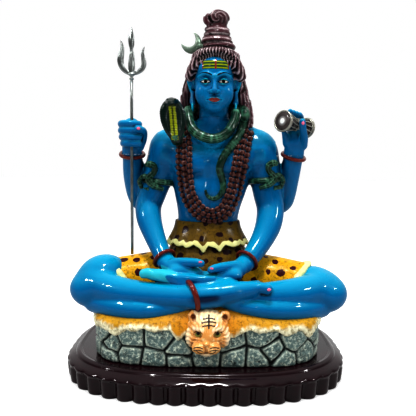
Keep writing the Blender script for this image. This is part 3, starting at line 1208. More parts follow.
# %% The neck snake
NECK_COIL = [[-8.6, 16, 148.4, 2.6], [-12.2, 9, 148.6, 2.7], [-12.4, 2, 146, 2.8], [-10.6, -4.4, 137.4, 2.9],
             [-5, -8, 131.8, 2.9], [3.4, -9.2, 129.6, 2.9], [10.8, -8, 132.4, 2.9], [15.6, -4, 139, 2.9],
             [17.4, 2.4, 146, 2.8], [16.6, 10, 149.4, 2.7], [10, 17.6, 149.6, 2.6], [0, 19, 149, 2.6],
             [-8.6, 16, 148.4, 2.6]]
TAIL_PATH = [(22.8, 141.4), (21.4, 135.4), (18, 129.6), (13.6, 124), (9.4, 117.4), (7.6, 110.8),
             (9.6, 103.5), (9.8, 98.4), (7.4, 94), (3.6, 92.4), (0.2, 94.2), (-1.2, 97.8)]
tail_front = front_of(body_clay, *np.array(TAIL_PATH).T)
tail_radius = np.interp(np.arange(len(TAIL_PATH)), [0, 5, 8, 11], [2.7, 2.2, 1.5, 0.6])
tail = [[8, 19, 150, 2.6], [17.4, 13.6, 150.4, 2.7], [22.4, 6, 148.6, 2.8], [23.6, -1, 145, 2.8]]
tail += [[x, y - r * 0.7, z, r] for (x, z), y, r in zip(TAIL_PATH, tail_front, tail_radius)]
hood_neck = [[-10, 14, 143.6, 2.6], [-15, 7.4, 137, 2.8], [-18, -2, 130, 3], [-19, -8.6, 128.2, 3.1],
             [-20.2, -10.6, 132, 3]]
snake_piece("neck_snake", [snake(NECK_COIL, 2.9), snake(tail, 2.4), snake(hood_neck, 2.8)])

# %% The hood's paint
hood_paint, tree, shader = finish("hood_paint", roughness=0.3, coat=0.8, coat_roughness=0.1)
hood_tone = airbrushed(tree, rgb(0.01, 0.13, 0.10), rgb(0.0, 0.03, 0.03), rgb(0.42, 0.66, 0.55),
                       hollow_share=1.2, edge_share=0.8, edge_start=0.45, clouding=0.6, cloud_scale=150.0)
belly_tone = blend(tree, mask(tree, "belly_line"), rgb(0.62, 0.66, 0.04), rgb(0.16, 0.22, 0.02))
lay_colour(shader, blend(tree, mask(tree, "belly"), hood_tone, belly_tone))

# %% The snake's hood
hood_clay = Clay((-34, -22, 122), (-9, 3, 160), 0.36)
HOOD = [[126.6, -19.2, -10, 2.6, 2.2], [129.4, -19.6, -10.6, 3.6, 2.3], [134, -20.4, -10.8, 6, 2.4],
        [140, -21.2, -10.6, 7.6, 2.3], [146, -21.8, -10.2, 7.6, 2.4], [150, -22, -9.8, 6, 2.8],
        [153, -22, -9.6, 3.6, 2.4]]
hood_clay.stack(HOOD, soft=1)
hood_clay.egg([-21.4, -15.4, 141.6], [4.8, 4.4, 10.6], soft=1.6, carve=True)
hood_clay.limb([[-20.2, -10.8, 129, 2.2], [-20.9, -11.6, 135, 2.3], [-21.4, -11.2, 142, 2.4],
                [-21.8, -10.6, 148.4, 2.3]], soft=0.8, flat=((0, 1, 0), 0.62))
hood_clay.egg([-22.2, -12, 151.4], [3.6, 4.6, 2.5], turn=(14, 0, 0), soft=1.2)
hood_clay.egg([-22.3, -15.4, 150.4], [2.4, 2.4, 1.6], turn=(14, 0, 0), soft=0.8)
for side in (-1, 1):
    hood_clay.egg([-22.2 + side * 2.1, -14.2, 152.4], [0.8, 0.9, 0.7], soft=0.2)
PLATE_RHYTHM = 4.2            # the belly's cross plates, as an angle for each unit of height


def plates(x, y, z):
    return 0.14 * np.cos(z * PLATE_RHYTHM) * np.clip(2.4 - np.abs(x + 21.2), 0, 1) * (z < 148)


def diamonds(x, y, z):
    return 0.1 * np.cos(x * 3.4 + z * 2.2) * np.cos(x * 3.4 - z * 2.2)


def from_belly(x, z):
    return np.abs(x - np.interp(z, [128, 148], [-19.8, -21.8]))


def belly(x, y, z):
    return (from_belly(x, z) < 2.1) & (y < -9.8) & (z > 128.6) & (z < 148.6)


def belly_line(x, y, z):
    joints = 0.35 * (np.cos(z * PLATE_RHYTHM) < -0.3)
    return belly(x, y, z) * (0.8 * (from_belly(x, z) < 0.5) + joints)


hood_clay.relief(plates, (-26, -15, 127), (-17, -8, 149))
hood_clay.relief(diamonds)
fire("snake_hood", hood_clay, hood_paint, masks={"belly": belly, "belly_line": belly_line})

# %% Arm snakes
# Stations beside each arm's ring: out from the arm, forward, up and radius. One part of the snake
# climbs with its head raised, and another crosses over the coil.
CLIMBING = ((-4.6, 0.6, -5.4, 1.2), (1.6, -1.3, -3, 1.8), (4.8, -1.2, 1.2, 1.9), (1, -1.9, 5.4, 1.8),
            (0.8, -2.6, 9, 1.9), (3.6, -3.6, 10.4, 2.1), (6, -3, 9.8, 1.2))
CROSSING = ((9.6, -6, -5, 1), (10.6, -7.6, -0.6, 1.4), (7.4, -10.4, 2.8, 1.5), (3.4, -11.6, 0.6, 1.5),
            (1, -11, -4.4, 1.1))
COIL_TURNS = 1.5
arm_snakes = []
for side, x, y, z, radius in ((-1, -32.6, 8.7, 103, 9.9), (1, 37.8, 8.9, 104.6, 10.6)):
    coil = []
    for step in np.linspace(0, 1, 15):
        angle = -math.pi * 0.5 + side * (step - 0.62) * COIL_TURNS * 2 * math.pi
        coil.append([x + radius * math.cos(angle), y + radius * math.sin(angle), z - 5.5 + step * 8,
                     1.3 + 0.5 * math.sin(step * math.pi)])
    climbing = [[x + side * out, y - radius + ahead, z + up, thick] for out, ahead, up, thick in CLIMBING]
    crossing = [[x + side * out, y + ahead, z + up, thick] for out, ahead, up, thick in CROSSING]
    arm_snakes += [snake(coil, 1.6, 30, 1.0), snake(climbing, 1.8, 30, 1.0), snake(crossing, 1.4, 30, 1.0)]
snake_piece("arm_snakes", arm_snakes)

# %% [markdown]
# Three strings of rough brown beads hang from the shoulders to the waist. They are countless
# and alike, so each is the same small form with five shallow grooves and a hole at each end,
# seated on the chest by measuring the body's clay.

# %% Beads
bead_paint, tree, shader = finish("bead_paint", roughness=0.35, coat=0.5, coat_roughness=0.12)
bead_tone = blend(tree, mask(tree, "groove"), rgb(0.27, 0.09, 0.07), rgb(0.03, 0.01, 0.01))
lay_colour(shader, blend(tree, mask(tree, "brushed"), bead_tone, rgb(0.80, 0.58, 0.52)))
thread_paint, tree, shader = finish("thread_paint", roughness=0.5, coat=0.2)
lay_colour(shader, rgb(0.10, 0.03, 0.03))

# %% Strings of beads
BEAD_LINE = [(-17, 141), (-15.8, 133), (-14.6, 124), (-14.5, 114), (-13.6, 104), (-11.2, 93), (-4.6, 84.4),
             (3.2, 81.4), (10.8, 84.8), (16, 94), (18.6, 105), (20.6, 117), (22.6, 128), (24.6, 137)]
BEAD_PITCH, BEAD_RADIUS = 3.5, 1.85
STRING_APART = 3.5
GROOVES = 5                   # round each bead


def bead_bumps(rise, angle):
    return 0.07 * np.cos(angle * GROOVES) * np.cos(rise) - 0.3 * np.clip(np.abs(rise) - 1.1, 0, 1)


bead_parts, string_parts = [], []
rise, angle = pebble_grid()
groove = np.clip(np.abs(rise) * 2.4 - 1.7 - 0.3 * np.cos(angle * GROOVES), 0, 1)
brush = 0.55 * np.clip(np.cos(angle * GROOVES), 0, 1) * (np.abs(rise) < 0.8)
groove, brush = [*groove.ravel(), 1, 1], [*brush.ravel(), 0, 0]
line = smooth_line(BEAD_LINE, 12)
slope = np.gradient(line, axis=0)
slope /= np.linalg.norm(slope, axis=1, keepdims=True)
for string, offset in enumerate((-STRING_APART, 0, STRING_APART)):
    shifted = line + offset * np.stack([slope[:, 1], -slope[:, 0]], axis=1)
    length = run_along(shifted)
    beads = round(length[-1] / BEAD_PITCH)
    at = (np.arange(beads) + 0.25 + 0.25 * (string % 2)) * length[-1] / beads
    x, z = (np.interp(at, length, shifted[:, n]) for n in (0, 1))
    y = front_of(body_clay, x, z) - BEAD_RADIUS * 0.62
    y = np.minimum(y, np.convolve(np.pad(y, 2, "edge"), np.ones(5) / 5, "valid") + 0.4)
    for n in range(beads):
        before, after = max(n - 1, 0), min(n + 1, beads - 1)
        lean = math.degrees(math.atan2(x[after] - x[before], z[after] - z[before]))
        bead_parts.append(pebble((x[n], y[n], z[n]), np.full(3, BEAD_RADIUS), (0, lean, 0), bead_bumps))
    string_parts.append(cord([[a, b, c, 0.6] for a, b, c in zip(x, y + 0.3, z)], 8, 2)[0])
joined_piece("prayer_beads", bead_parts, bead_paint,
             {"groove": groove * len(bead_parts), "brushed": brush * len(bead_parts)})
joined_piece("bead_threads", string_parts, thread_paint)

# %% Bangles and anklet
ring_paint, tree, shader = finish("ring_paint", roughness=0.3, coat=0.7, coat_roughness=0.1)
wear = maths(tree, "MULTIPLY", cloud(tree, 220.0), 0.7)
lay_colour(shader, blend(tree, wear, rgb(0.50, 0.13, 0.08), rgb(0.30, 0.05, 0.04)))
# Middle, direction, radius and thickness: at the two lower wrists, the two raised ones and the ankle.
RINGS = (((-25.6, -19, 56.6), (0.52, -0.62, -0.6), 6.6, 1.15),
         ((24.6, -18.8, 55.8), (-0.56, -0.64, -0.52), 6.7, 1.15),
         ((-48.5, 5.4, 119.6), (0.05, -0.35, 1), 7.4, 1.15), ((55.2, 5, 119.4), (0.2, -0.35, 1), 7.2, 1.15),
         ((-8, -41.4, 39.6), (0.88, 0.34, 0.24), 8.2, 1.6))
joined_piece("bangles", [hoop(*ring) for ring in RINGS], ring_paint)

# %% [markdown]
# Skins and cloth: a spotted cloth round the waist with a cream scalloped edge, spotted skins
# over the thighs with rolled cream hems, and a tiger skin spread over the rock. They are carved
# in resin, so they are stiff forms with painted spots, not fabric.

# %% Spotted paint
SPOT_TRIES = 4000
OFF = -5.0                    # in a mask for drawn(): far outside the painted shape


def painted_spots(points, spacing, sizes, seed):
    """Spots scattered evenly over a skin: how far in from the nearest spot's outline each point is."""
    chance = np.random.default_rng(seed)
    centres = np.empty((0, 3))
    for candidate in points[chance.permutation(len(points))[:SPOT_TRIES]]:
        if not len(centres) or np.min(np.linalg.norm(centres - candidate, axis=1)) > spacing:
            centres = np.vstack([centres, candidate])
    inside = np.full(len(points), -9.0)
    ragged = 0.7 * lumps(*points.T, 1.6)
    for centre in centres:
        stretch = chance.uniform(0.75, 1.3)
        away = (points - centre) * (stretch, 1, 1 / stretch)
        inside = np.maximum(inside, chance.uniform(*sizes) + ragged - np.linalg.norm(away, axis=1))
    return inside


def stippled(tree):
    """The broken touches of a stiff brush held upright, as a mask."""
    return touches(tree, 520.0, 0.5, 6.0, roughness=0.7)


def spotted_skin(name, ground, shade, spot, cream):
    """Dull paint with darker stippling and spots, and a cream hem."""
    material, tree, shader = finish(name, roughness=0.42, coat=0.2, coat_roughness=0.2, specular=0.1)
    tone = airbrushed(tree, ground, shade, ground, hollow_share=1.1, edge_share=0.0, clouding=1.1,
                      cloud_scale=90.0)
    tone = blend(tree, maths(tree, "MULTIPLY", stippled(tree), 0.6), tone, shade)
    tone = blend(tree, drawn(tree, "spots"), tone, spot)
    hem = airbrushed(tree, cream, rgb(0.45, 0.46, 0.16), rgb(0.97, 0.95, 0.82), hollow_share=0.9,
                     edge_share=0.4, clouding=0.5, cloud_scale=200.0)
    lay_colour(shader, blend(tree, drawn(tree, "hem"), tone, hem))
    bumpy(shader, grained(tree, 900.0), 0.0002)
    return material


waist_paint = spotted_skin("waist_cloth_paint", rgb(0.44, 0.34, 0.08), rgb(0.12, 0.09, 0.02),
                           rgb(0.14, 0.02, 0.04), rgb(0.90, 0.88, 0.62))
thigh_paint = spotted_skin("thigh_skin_paint", rgb(0.92, 0.70, 0.10), rgb(0.40, 0.31, 0.04),
                           rgb(0.26, 0.02, 0.05), rgb(0.86, 0.86, 0.64))

# %% The waist cloth's hem and folds
AROUND = 320
WAIST_X, SKIRT_X = 0.4, 0.3
turn = full_turn(AROUND)
HEM_TONGUES = ((-1.8, 2.1, 3.6), (8.3, 1.9, 3.0), (-14, 2.4, 1.0))    # x, half-width and drop in front
facing_front = np.clip(-np.sin(turn), 0, 1) ** 0.5
hem_x = WAIST_X + 26 * np.cos(turn)
hem_drop = 1.7 * np.abs(np.sin(turn * 8.5 + 0.7 * np.sin(turn * 3)))
hem_drop += sum(facing_front * drop * np.exp(-((hem_x - x) / wide) ** 2) for x, wide, drop in HEM_TONGUES)
hem_drop += 1.6 * (1 - facing_front) * (0.5 + 0.5 * np.cos(turn * 9))
fold = np.cos(turn * 13 + 0.8) + 0.6 * np.cos(turn * 24 + 1.2 * np.sin(turn * 3))
print("the hem hangs", round(hem_drop.min(), 1), "to", round(hem_drop.max(), 1), "lower than its line")

# %% The waist cloth
HEM_LINE = 64.4
# Rows of share of the way down, half-width, half-depth, middle y and height: out of the waist,
# down to the hem and back under.
FLAP = ((0, 17.4, 11.8, 8.4, 77.2), (0.02, 20.6, 14.4, 8.4, 77.4), (0.06, 21.1, 14.9, 8.4, 76.6),
        (0.3, 21.9, 15.8, 8.2, 73), (0.6, 23.8, 17.6, 8, 69), (0.85, 25.6, 19.2, 7.8, 66.4),
        (1, 26.8, 20, 7.6, 64.4), (1, 26.2, 19.4, 7.6, 63.9), (0.85, 24, 17.6, 7.8, 66),
        (0.6, 21.6, 15.4, 8, 69))


def oval_row(x, y, half_width, half_depth, z):
    """One row of points round the waist, with z a number or a height for each point."""
    return np.stack([x + half_width * np.cos(turn), y + half_depth * np.sin(turn),
                     np.broadcast_to(z, AROUND)], 1)


flap_rings, flap_hem = [], []
for share, rx, ry, cy, z in smooth_line(FLAP, 5):
    share = np.clip(share, 0, 1)
    swell = 1 + 0.012 * fold * share ** 2
    height = z - hem_drop * share ** 3
    flap_rings.append(oval_row(WAIST_X, cy, rx * swell, ry * swell, height))
    flap_hem.append(2.4 + 0.25 * hem_drop + 0.4 * np.cos(turn * 31) - (height - (HEM_LINE - hem_drop)))
flap, flap_faces = loft(flap_rings)
# Rows of height, half-width, half-depth and middle y of the skirt below the flap.
SKIRT = ((76, 16, 11.6, 8.4), (64, 22.4, 16.4, 8), (60, 24.4, 18, 7.4), (54, 27.4, 20.6, 6.6),
         (47, 30.4, 22.8, 6), (41, 32.4, 24.4, 5.6))
swell = 1 + 0.01 * fold
skirt_rings = []
for z, rx, ry, cy in smooth_line(SKIRT[::-1], 6):
    skirt_rings.append(oval_row(SKIRT_X, cy, rx * swell, ry * swell, z))
skirt, skirt_faces = loft(skirt_rings)
points, faces = gather([(flap, [f[:, ::-1] for f in flap_faces]), (skirt, skirt_faces)])
hem = np.concatenate([*flap_hem, np.full(len(skirt) + 2, OFF)])
make_piece("waist_cloth", place(points), faces, waist_paint,
           {"hem": hem, "spots": painted_spots(points, 7.0, (1.7, 2.6), 5)})

# %% Thigh skins
thigh_clay = Clay((-70, -22, 24), (72, 28, 66), fineness(0.8))
thigh_clay.limb([[-14, 7, 42, 17], [-38, 1.6, 40.2, 16], [-57, -3, 38.6, 15]], soft=1)
thigh_clay.limb([[15, 7, 42, 16.6], [40, 1.4, 39.4, 15.8], [60.6, -3.4, 37.4, 14.6]], soft=1)


def hem_reach(side, y, z):
    """How far out along the thigh the skin's slanting hem lies."""
    turn = np.arctan2(z - 37, -4.7 - y)
    top, front = np.sin(turn), np.clip(np.cos(turn), 0, 1)
    return 58 + 8 * top - 12 * front if side < 0 else 60 + 5 * top - 6 * front


def cut_at_hem(x, y, z):
    """Uneven leather, pared away beyond the hem."""
    beyond = np.abs(x) - np.where(x < 0, hem_reach(-1, y, z), hem_reach(1, y, z))
    return 0.12 * lumps(x, y, z, 3) - 14 * np.clip(beyond / 1.5, 0, 1)


def thigh_spots(x, y, z):
    return painted_spots(np.column_stack([x, y, z]), 8.0, (1.6, 2.7), 9)


thigh_clay.relief(cut_at_hem)
fire("thigh_skins", thigh_clay, thigh_paint,
     masks={"hem": lambda x, y, z: np.full(len(x), OFF), "spots": thigh_spots})

# %% Rolled hems
hem_clay = Clay((-72, -24, 22), (74, 26, 62), 0.6)
for side, y, z, radius in ((-1, -3.8, 38.4, 14.6), (1, -4.2, 37.2, 14)):
    loop = []
    for t in np.linspace(0, 2 * math.pi, 25):
        at_y, at_z = y + radius * math.cos(t), z + radius * math.sin(t)
        at_x = side * hem_reach(side, at_y, at_z) + 0.8 * math.cos(t * 3 + 1)
        loop.append([at_x, at_y, at_z, 1.5 + 0.4 * math.cos(t * 5)])
    hem_clay.limb(loop, soft=0.8, steps=2)
    hem_clay.limb([[a - side * 2.4, b, c, r * 0.6] for a, b, c, r in loop], soft=1.6, steps=2)
hem_clay.relief(lambda x, y, z: 0.3 * lumps(x, y, z, 2.2))
fire("rolled_hems", hem_clay, thigh_paint,
     masks={"hem": lambda x, y, z: np.ones(len(x)), "spots": lambda x, y, z: np.full(len(x), OFF)})

# %% [markdown]
# The rock is two courses of stones, larger ones above and smaller, rounder ones below, parted
# by deep joints. Each point of its side knows the nearest and second-nearest stone middle, and
# where the two are equally near there is a joint. The same measure would make any dry wall.

# %% Rounded outlines
OUTLINE_STEPS = 2881


def squared_oval(half_width, half_depth, squareness, columns, middle_y=0.0, back=0.0):
    """A squared oval, squarer behind if asked.

    It gives evenly spaced points, their outward directions, their run along the line and its length.
    """
    fine = np.linspace(0, 2 * np.pi, OUTLINE_STEPS)
    c, s = np.cos(fine), np.sin(fine)
    power = 2 / np.where(s > 0, squareness + back, squareness)
    across = half_width * np.sign(c) * np.abs(c) ** power
    deep = middle_y + half_depth * np.sign(s) * np.abs(s) ** power
    shape = np.stack([across, deep], axis=1)
    run = run_along(shape)
    at = np.arange(columns) / columns * run[-1]
    points = np.stack([np.interp(at, run, shape[:, n]) for n in (0, 1)], axis=1)
    ahead, behind = np.roll(points, -1, axis=0), np.roll(points, 1, axis=0)
    out = np.stack([(ahead - behind)[:, 1], (behind - ahead)[:, 0]], axis=1)
    return points, out / np.linalg.norm(out, axis=1, keepdims=True), at, run[-1]


# %% Rock paint
rock_paint, tree, shader = finish("rock_paint", roughness=0.45, coat=0.35, coat_roughness=0.2)
stone_tone = airbrushed(tree, rgb(0.43, 0.52, 0.51), rgb(0.03, 0.05, 0.06), rgb(0.90, 0.94, 0.88),
                        hollow_share=1.4, edge_share=0.9, clouding=0.7, cloud_scale=90.0)
grain = grained(tree, 620.0, 4.0, 0.75)
out_of_joints = maths(tree, "SUBTRACT", 1.0, mask(tree, "joint"))
speckle = maths(tree, "MULTIPLY", over_level(tree, grain, 0.49, 5.5), out_of_joints)
stone_tone = blend(tree, speckle, stone_tone, rgb(0.93, 0.96, 0.89))
stains = touches(tree, 260.0, 0.54, 6.0, 4.0, 0.7)
stone_tone = blend(tree, stains, stone_tone, rgb(0.06, 0.10, 0.10))
lay_colour(shader, blend(tree, mask(tree, "joint"), stone_tone, rgb(0.01, 0.015, 0.02)))
bumpy(shader, grain, 0.0005)

# %% Where the stones lie
SEAT_SHIFT = 1.0              # the seat stands a little to +X
ROCK_COLUMNS = fineness(620)
# Courses of stones: how many, their middle height, and how far chance moves them along and up.
COURSES = ((26, 4.4, 3.2, 1.5), (21, 15.4, 3.6, 1.6), (9, 10, 6, 0.8))
rock_line, rock_out, rock_run, rock_round = squared_oval(68.2, 45, 3.6, ROCK_COLUMNS, -2)
rock_line[:, 0] += SEAT_SHIFT
chance = np.random.default_rng(7)
stones = []
for count, height, spread, lift in COURSES:
    for n in range(count):
        along = (n + 0.5) * rock_round / count + chance.uniform(-spread, spread)
        stones.append((along, height + chance.uniform(-lift, lift), chance.uniform(-0.5, 0.5)))
stones = np.array(stones)
print(len(stones), "stones")

# %% Rock seat
JOINT_DEPTH, JOINT_WIDTH = 2.3, 2.2
ROCK_TOP = 22.4
heights = np.concatenate([[0.0], np.linspace(0.3, ROCK_TOP, 40)])
rock_x, rock_y = rock_line.T
away_run = np.abs(rock_run[:, None] - stones[None, :, 0])
away_run = np.minimum(away_run, rock_round - away_run)
rock_rings, joint_mask, edge_mask = [], [], []
for z in heights:
    wavering = 1.2 * lumps(rock_x, rock_y, z + 50, 5)[:, None]
    reach = np.hypot(away_run + wavering * 0.5, (z - stones[None, :, 1]) * 1.12 + wavering * 0.6)
    order = np.sort(reach, axis=1)
    gap = order[:, 1] - order[:, 0]
    nearest = stones[np.argmin(reach, axis=1), 2]
    face = np.clip(gap / JOINT_WIDTH, 0, 1) ** 0.6
    out = nearest * face + 0.7 * (1 - (order[:, 0] / 9) ** 2) * face - JOINT_DEPTH * (1 - face)
    out += 0.35 * lumps(rock_x, rock_y, z, 1.7) + 0.2 * lumps(rock_y, rock_x, z, 0.9)
    out -= 0.5 * np.exp(-z / 0.7)
    ring = rock_line + rock_out * np.minimum(out, 1.0)[:, None]
    rock_rings.append(np.column_stack([ring, np.full(ROCK_COLUMNS, z)]))
    joint_mask.append(np.clip(1.5 - gap / 1.1, 0, 1))
    chipped = 0.5 + 0.5 * lumps(rock_x, rock_y, z, 3)
    edge_mask.append(np.clip(1 - np.abs(gap - 2.4) / 1.6, 0, 1) * chipped)
joined_piece("rock_seat", [loft(rock_rings)], rock_paint,
             {"joint": np.concatenate([*joint_mask, [0, 0]]), "edge": np.concatenate([*edge_mask, [0, 0]])})

# %% [markdown]
# The tiger skin is draped over the rock, so it is the rock's own outline carried up over the rim
# and inwards, a little larger. Its lower edge falls in paws and torn waves, rises in a dome
# behind the tiger's head, and its fringe of pale tufts grows from the same rows as the colour.

# %% Pelt paint
pelt_paint, tree, shader = finish("pelt_paint", roughness=0.45, coat=0.3, coat_roughness=0.2)
pelt_tone = airbrushed(tree, rgb(0.80, 0.62, 0.15), rgb(0.30, 0.22, 0.04), rgb(0.88, 0.76, 0.42),
                       hollow_share=1.0, edge_share=0.3, clouding=0.8, cloud_scale=80.0)
pelt_tone = blend(tree, mask(tree, "near_head"), pelt_tone, rgb(0.86, 0.58, 0.16))
pelt_tone = blend(tree, maths(tree, "MULTIPLY", stippled(tree), 0.65), pelt_tone, rgb(0.42, 0.27, 0.05))
pelt_tone = blend(tree, mask(tree, "under_legs"), pelt_tone, rgb(0.26, 0.16, 0.03))
tufted = touches(tree, 420.0, 0.45, 4.0)
fringe_tone = blend(tree, tufted, rgb(0.96, 0.94, 0.82), rgb(0.56, 0.51, 0.34))
lay_colour(shader, blend(tree, mask(tree, "fringe"), pelt_tone, fringe_tone))
bumpy(shader, grained(tree, 700.0, 3.0, 0.7), 0.0003)

# %% The pelt's lower edge
PELT_COLUMNS = fineness(640)
PELT_WIDE, PELT_DEEP, PELT_Y = 67.2, 44, -2
PELT_HEM, PELT_RIM, DOME_RISE = 21.8, 23.2, 8.2
PAWS = ((-62, 3.4, 2.6), (-50.5, 4.2, 7.6), (-15.5, 3.6, 5.4), (14.8, 4.4, 3.4), (45.5, 3.8, 3.8),
        (58.6, 3.6, 8.6))     # x, half-width and drop of each paw or torn corner
pelt_line, pelt_out, pelt_run, _ = squared_oval(PELT_WIDE, PELT_DEEP, 3.6, PELT_COLUMNS, PELT_Y)
pelt_line[:, 0] += SEAT_SHIFT
pelt_x, pelt_y = pelt_line.T
on_front = np.clip((PELT_Y - pelt_y) / PELT_DEEP, 0, 1) ** 4
hem_z = PELT_HEM - 1.2 * np.abs(np.sin(pelt_run * 0.21)) - lumps(pelt_x, pelt_y, 3, 5)
hem_z -= sum(on_front * drop * np.exp(-((pelt_x - x) / wide) ** 2) for x, wide, drop in PAWS)
hem_z -= (1 - on_front) * 3.4 * np.abs(np.sin(pelt_run * 0.075 + 0.5)) ** 2
hem_z -= 0.35 * np.abs(np.sin(pelt_run * 0.6 + 1.6 * np.sin(pelt_run * 0.31)))
dome = on_front * np.exp(-((pelt_x - 1) / 32) ** 2)
print("pelt hem from", round(hem_z.min(), 1), "to", round(hem_z.max(), 1))

# %% The pelt
# Rows of outward offset, share of the way from hem to rim, rise above the rim, share of the dome.
PELT = ((-1.6, 0.12, 0, 0), (0.6, 0.0, 0, 0), (2.2, 0.0, 0, 0), (2.9, 0.3, 0, 0), (2.8, 0.7, 0, 0),
        (2.2, 1, 0, 0.1), (0.4, 1, 1.4, 0.45), (-3, 1, 2.2, 0.85), (-8, 1, 2.6, 1.0), (-16, 1, 2.8, 1.0))
pelt_rings, fringe_mask, head_mask, legs_mask = [], [], [], []
for out, share, rise, lift in smooth_line(PELT, 6):
    share, lift = min(max(share, 0), 1), min(max(lift, 0), 1)
    z = hem_z + (PELT_RIM - hem_z) * share + rise + DOME_RISE * dome * lift
    tufts = np.cos(pelt_run * 2.4 + 1.6 * np.sin(pelt_run * 0.5) + z * 0.25)
    low_down = np.clip(1.6 - (z - hem_z) / 4, 0, 1)
    grow = out + (0.28 * tufts * low_down + 0.35 * lumps(pelt_x, pelt_y, z, 4)) * (out > 0)
    pelt_rings.append(np.column_stack([pelt_line + pelt_out * grow[:, None], z]))
    ragged = 0.35 * tufts + 1.6 * lumps(pelt_x, pelt_y, z, 2.5)
    on_fringe = np.clip((5.6 + ragged - (z - hem_z) - 3 * dome) / 2.4, 0, 1)
    fringe_mask.append(on_fringe * np.clip(1.2 - rise, 0, 1))
    head_mask.append(np.exp(-((pelt_x - 1) / 20) ** 2) * on_front)
    legs_mask.append(np.clip((rise - 1.6) / 1.4, 0, 1) * (1 - 0.8 * dome))
joined_piece("tiger_pelt", [loft(pelt_rings)], pelt_paint, {
    "fringe": np.concatenate([*fringe_mask, [0, 0]]), "near_head": np.concatenate([*head_mask, [0, 0]]),
    "under_legs": np.concatenate([*legs_mask, [0, 1]])})

# %% [markdown]
# The tiger's head lies over the rock's front edge. It is a broad, flat skull with round ears, a
# wide muzzle in two lobes and a fur of short grooves that run away from the nose.

# %% Tiger head material
tiger_paint, tree, shader = finish("tiger_paint", roughness=0.4, coat=0.5, coat_roughness=0.15)
tiger_tone = airbrushed(tree, rgb(0.88, 0.64, 0.36), rgb(0.52, 0.24, 0.09), rgb(0.97, 0.84, 0.64),
                        hollow_share=1.5, edge_share=0.8, edge_start=0.2, clouding=0.9, cloud_scale=130.0)
tiger_tone = blend(tree, stippled(tree), tiger_tone, rgb(0.97, 0.85, 0.62))
tiger_tone = blend(tree, mask(tree, "cream"), tiger_tone, rgb(0.98, 0.92, 0.80))
tiger_tone = blend(tree, mask(tree, "crown"), tiger_tone, rgb(0.98, 0.93, 0.80))
tiger_tone = blend(tree, mask(tree, "inner_ear"), tiger_tone, rgb(0.50, 0.27, 0.12))
for detail, colour in (("tiger_eye", rgb(0.60, 0.60, 0.30)), ("tiger_pupil", rgb(0.03, 0.02, 0.02)),
                       ("tiger_strokes", rgb(0.06, 0.03, 0.03))):
    tiger_tone = blend(tree, drawn(tree, detail), tiger_tone, colour)
lay_colour(shader, tiger_tone)

# %% Tiger fur and face paint
TIGER_X, TIGER_EYE_Z = 1.2, 21.2
TIGER_EYE_OUT = 5.4
MUZZLE_X, CROWN_X, EAR_X = 0.4, 1.7, 1.9       # the head is held a little askew


def from_middle(x):
    return np.abs(x - TIGER_X)


def from_eye(x):
    return from_middle(x) - TIGER_EYE_OUT


def fur(x, y, z):
    """Short grooves that run away from the nose."""
    angle = np.arctan2(z - 17, (x - TIGER_X) * 1.1)
    away = np.hypot(x - TIGER_X, z - 17)
    return 0.2 * np.cos(angle * 30 + 1.5 * np.sin(away * 1.3)) * np.clip((away - 4) / 5, 0, 1)


def strokes(x, y, z):
    """Brush strokes: the mark on the crown, two whiskers a side, the mouth and the upper lids."""
    across, from_crown = np.abs(x - MUZZLE_X), np.abs(x - CROWN_X)
    upright = np.minimum(0.42 - from_crown, 3.2 - np.abs(z - 28.2))
    bars = [np.minimum(0.3 - np.abs(z - row + 0.05 * from_crown ** 2), reach - from_crown)
            for row, reach in ((29.8, 3.4), (28.3, 4.2), (26.6, 3.6))]
    whiskers = [np.minimum(0.27 - np.abs(z - row + 0.12 * (across - 4.4) ** 2), 2.6 - np.abs(across - 4.4))
                for row in (15.6, 14.2)]
    mouth = np.minimum(0.3 - np.abs(z - 11.4 - 0.08 * across ** 2), 5.4 - across)
    from_lid = np.abs(z - TIGER_EYE_Z - 1.5 + 0.12 * from_eye(x) ** 2)
    lid = np.minimum(0.3 - from_lid, 2.4 - np.abs(from_eye(x)))
    muzzle = [np.where(y < -54, whisker, -1) for whisker in whiskers] + [np.where(y < -53, mouth, -1)]
    return np.where(y < -44, np.max([upright, lid, *bars, *muzzle], axis=0), -1)


def tiger_eye(x, y, z):
    return np.where(y < -48, 1.25 - np.hypot(from_eye(x) * 0.72, z - TIGER_EYE_Z + 0.3), -1)


def tiger_pupil(x, y, z):
    return np.where(y < -48, 0.95 - np.hypot(from_eye(x), z - TIGER_EYE_Z - 0.3), -1)


def cream(x, y, z):
    """Pale fur over the eyes, on the cheeks and under the chin."""
    over_eyes = 0.9 * np.clip(1 - np.abs(z - 24.4) / 1.8, 0, 1) * (np.abs(from_eye(x)) < 3.2)
    return over_eyes + 0.8 * np.clip((from_middle(x) - 9) / 2, 0, 1) * (z < 24) + 0.8 * (z < 10.8)


def crown(x, y, z):
    return 0.6 * np.clip((z - 26) / 3, 0, 1) * (from_middle(x) < 8)


def inner_ear(x, y, z):
    return np.clip(1.9 - np.hypot(np.abs(x - EAR_X) - 8.9, z - 29.2), 0, 1) * (y < -46.4)


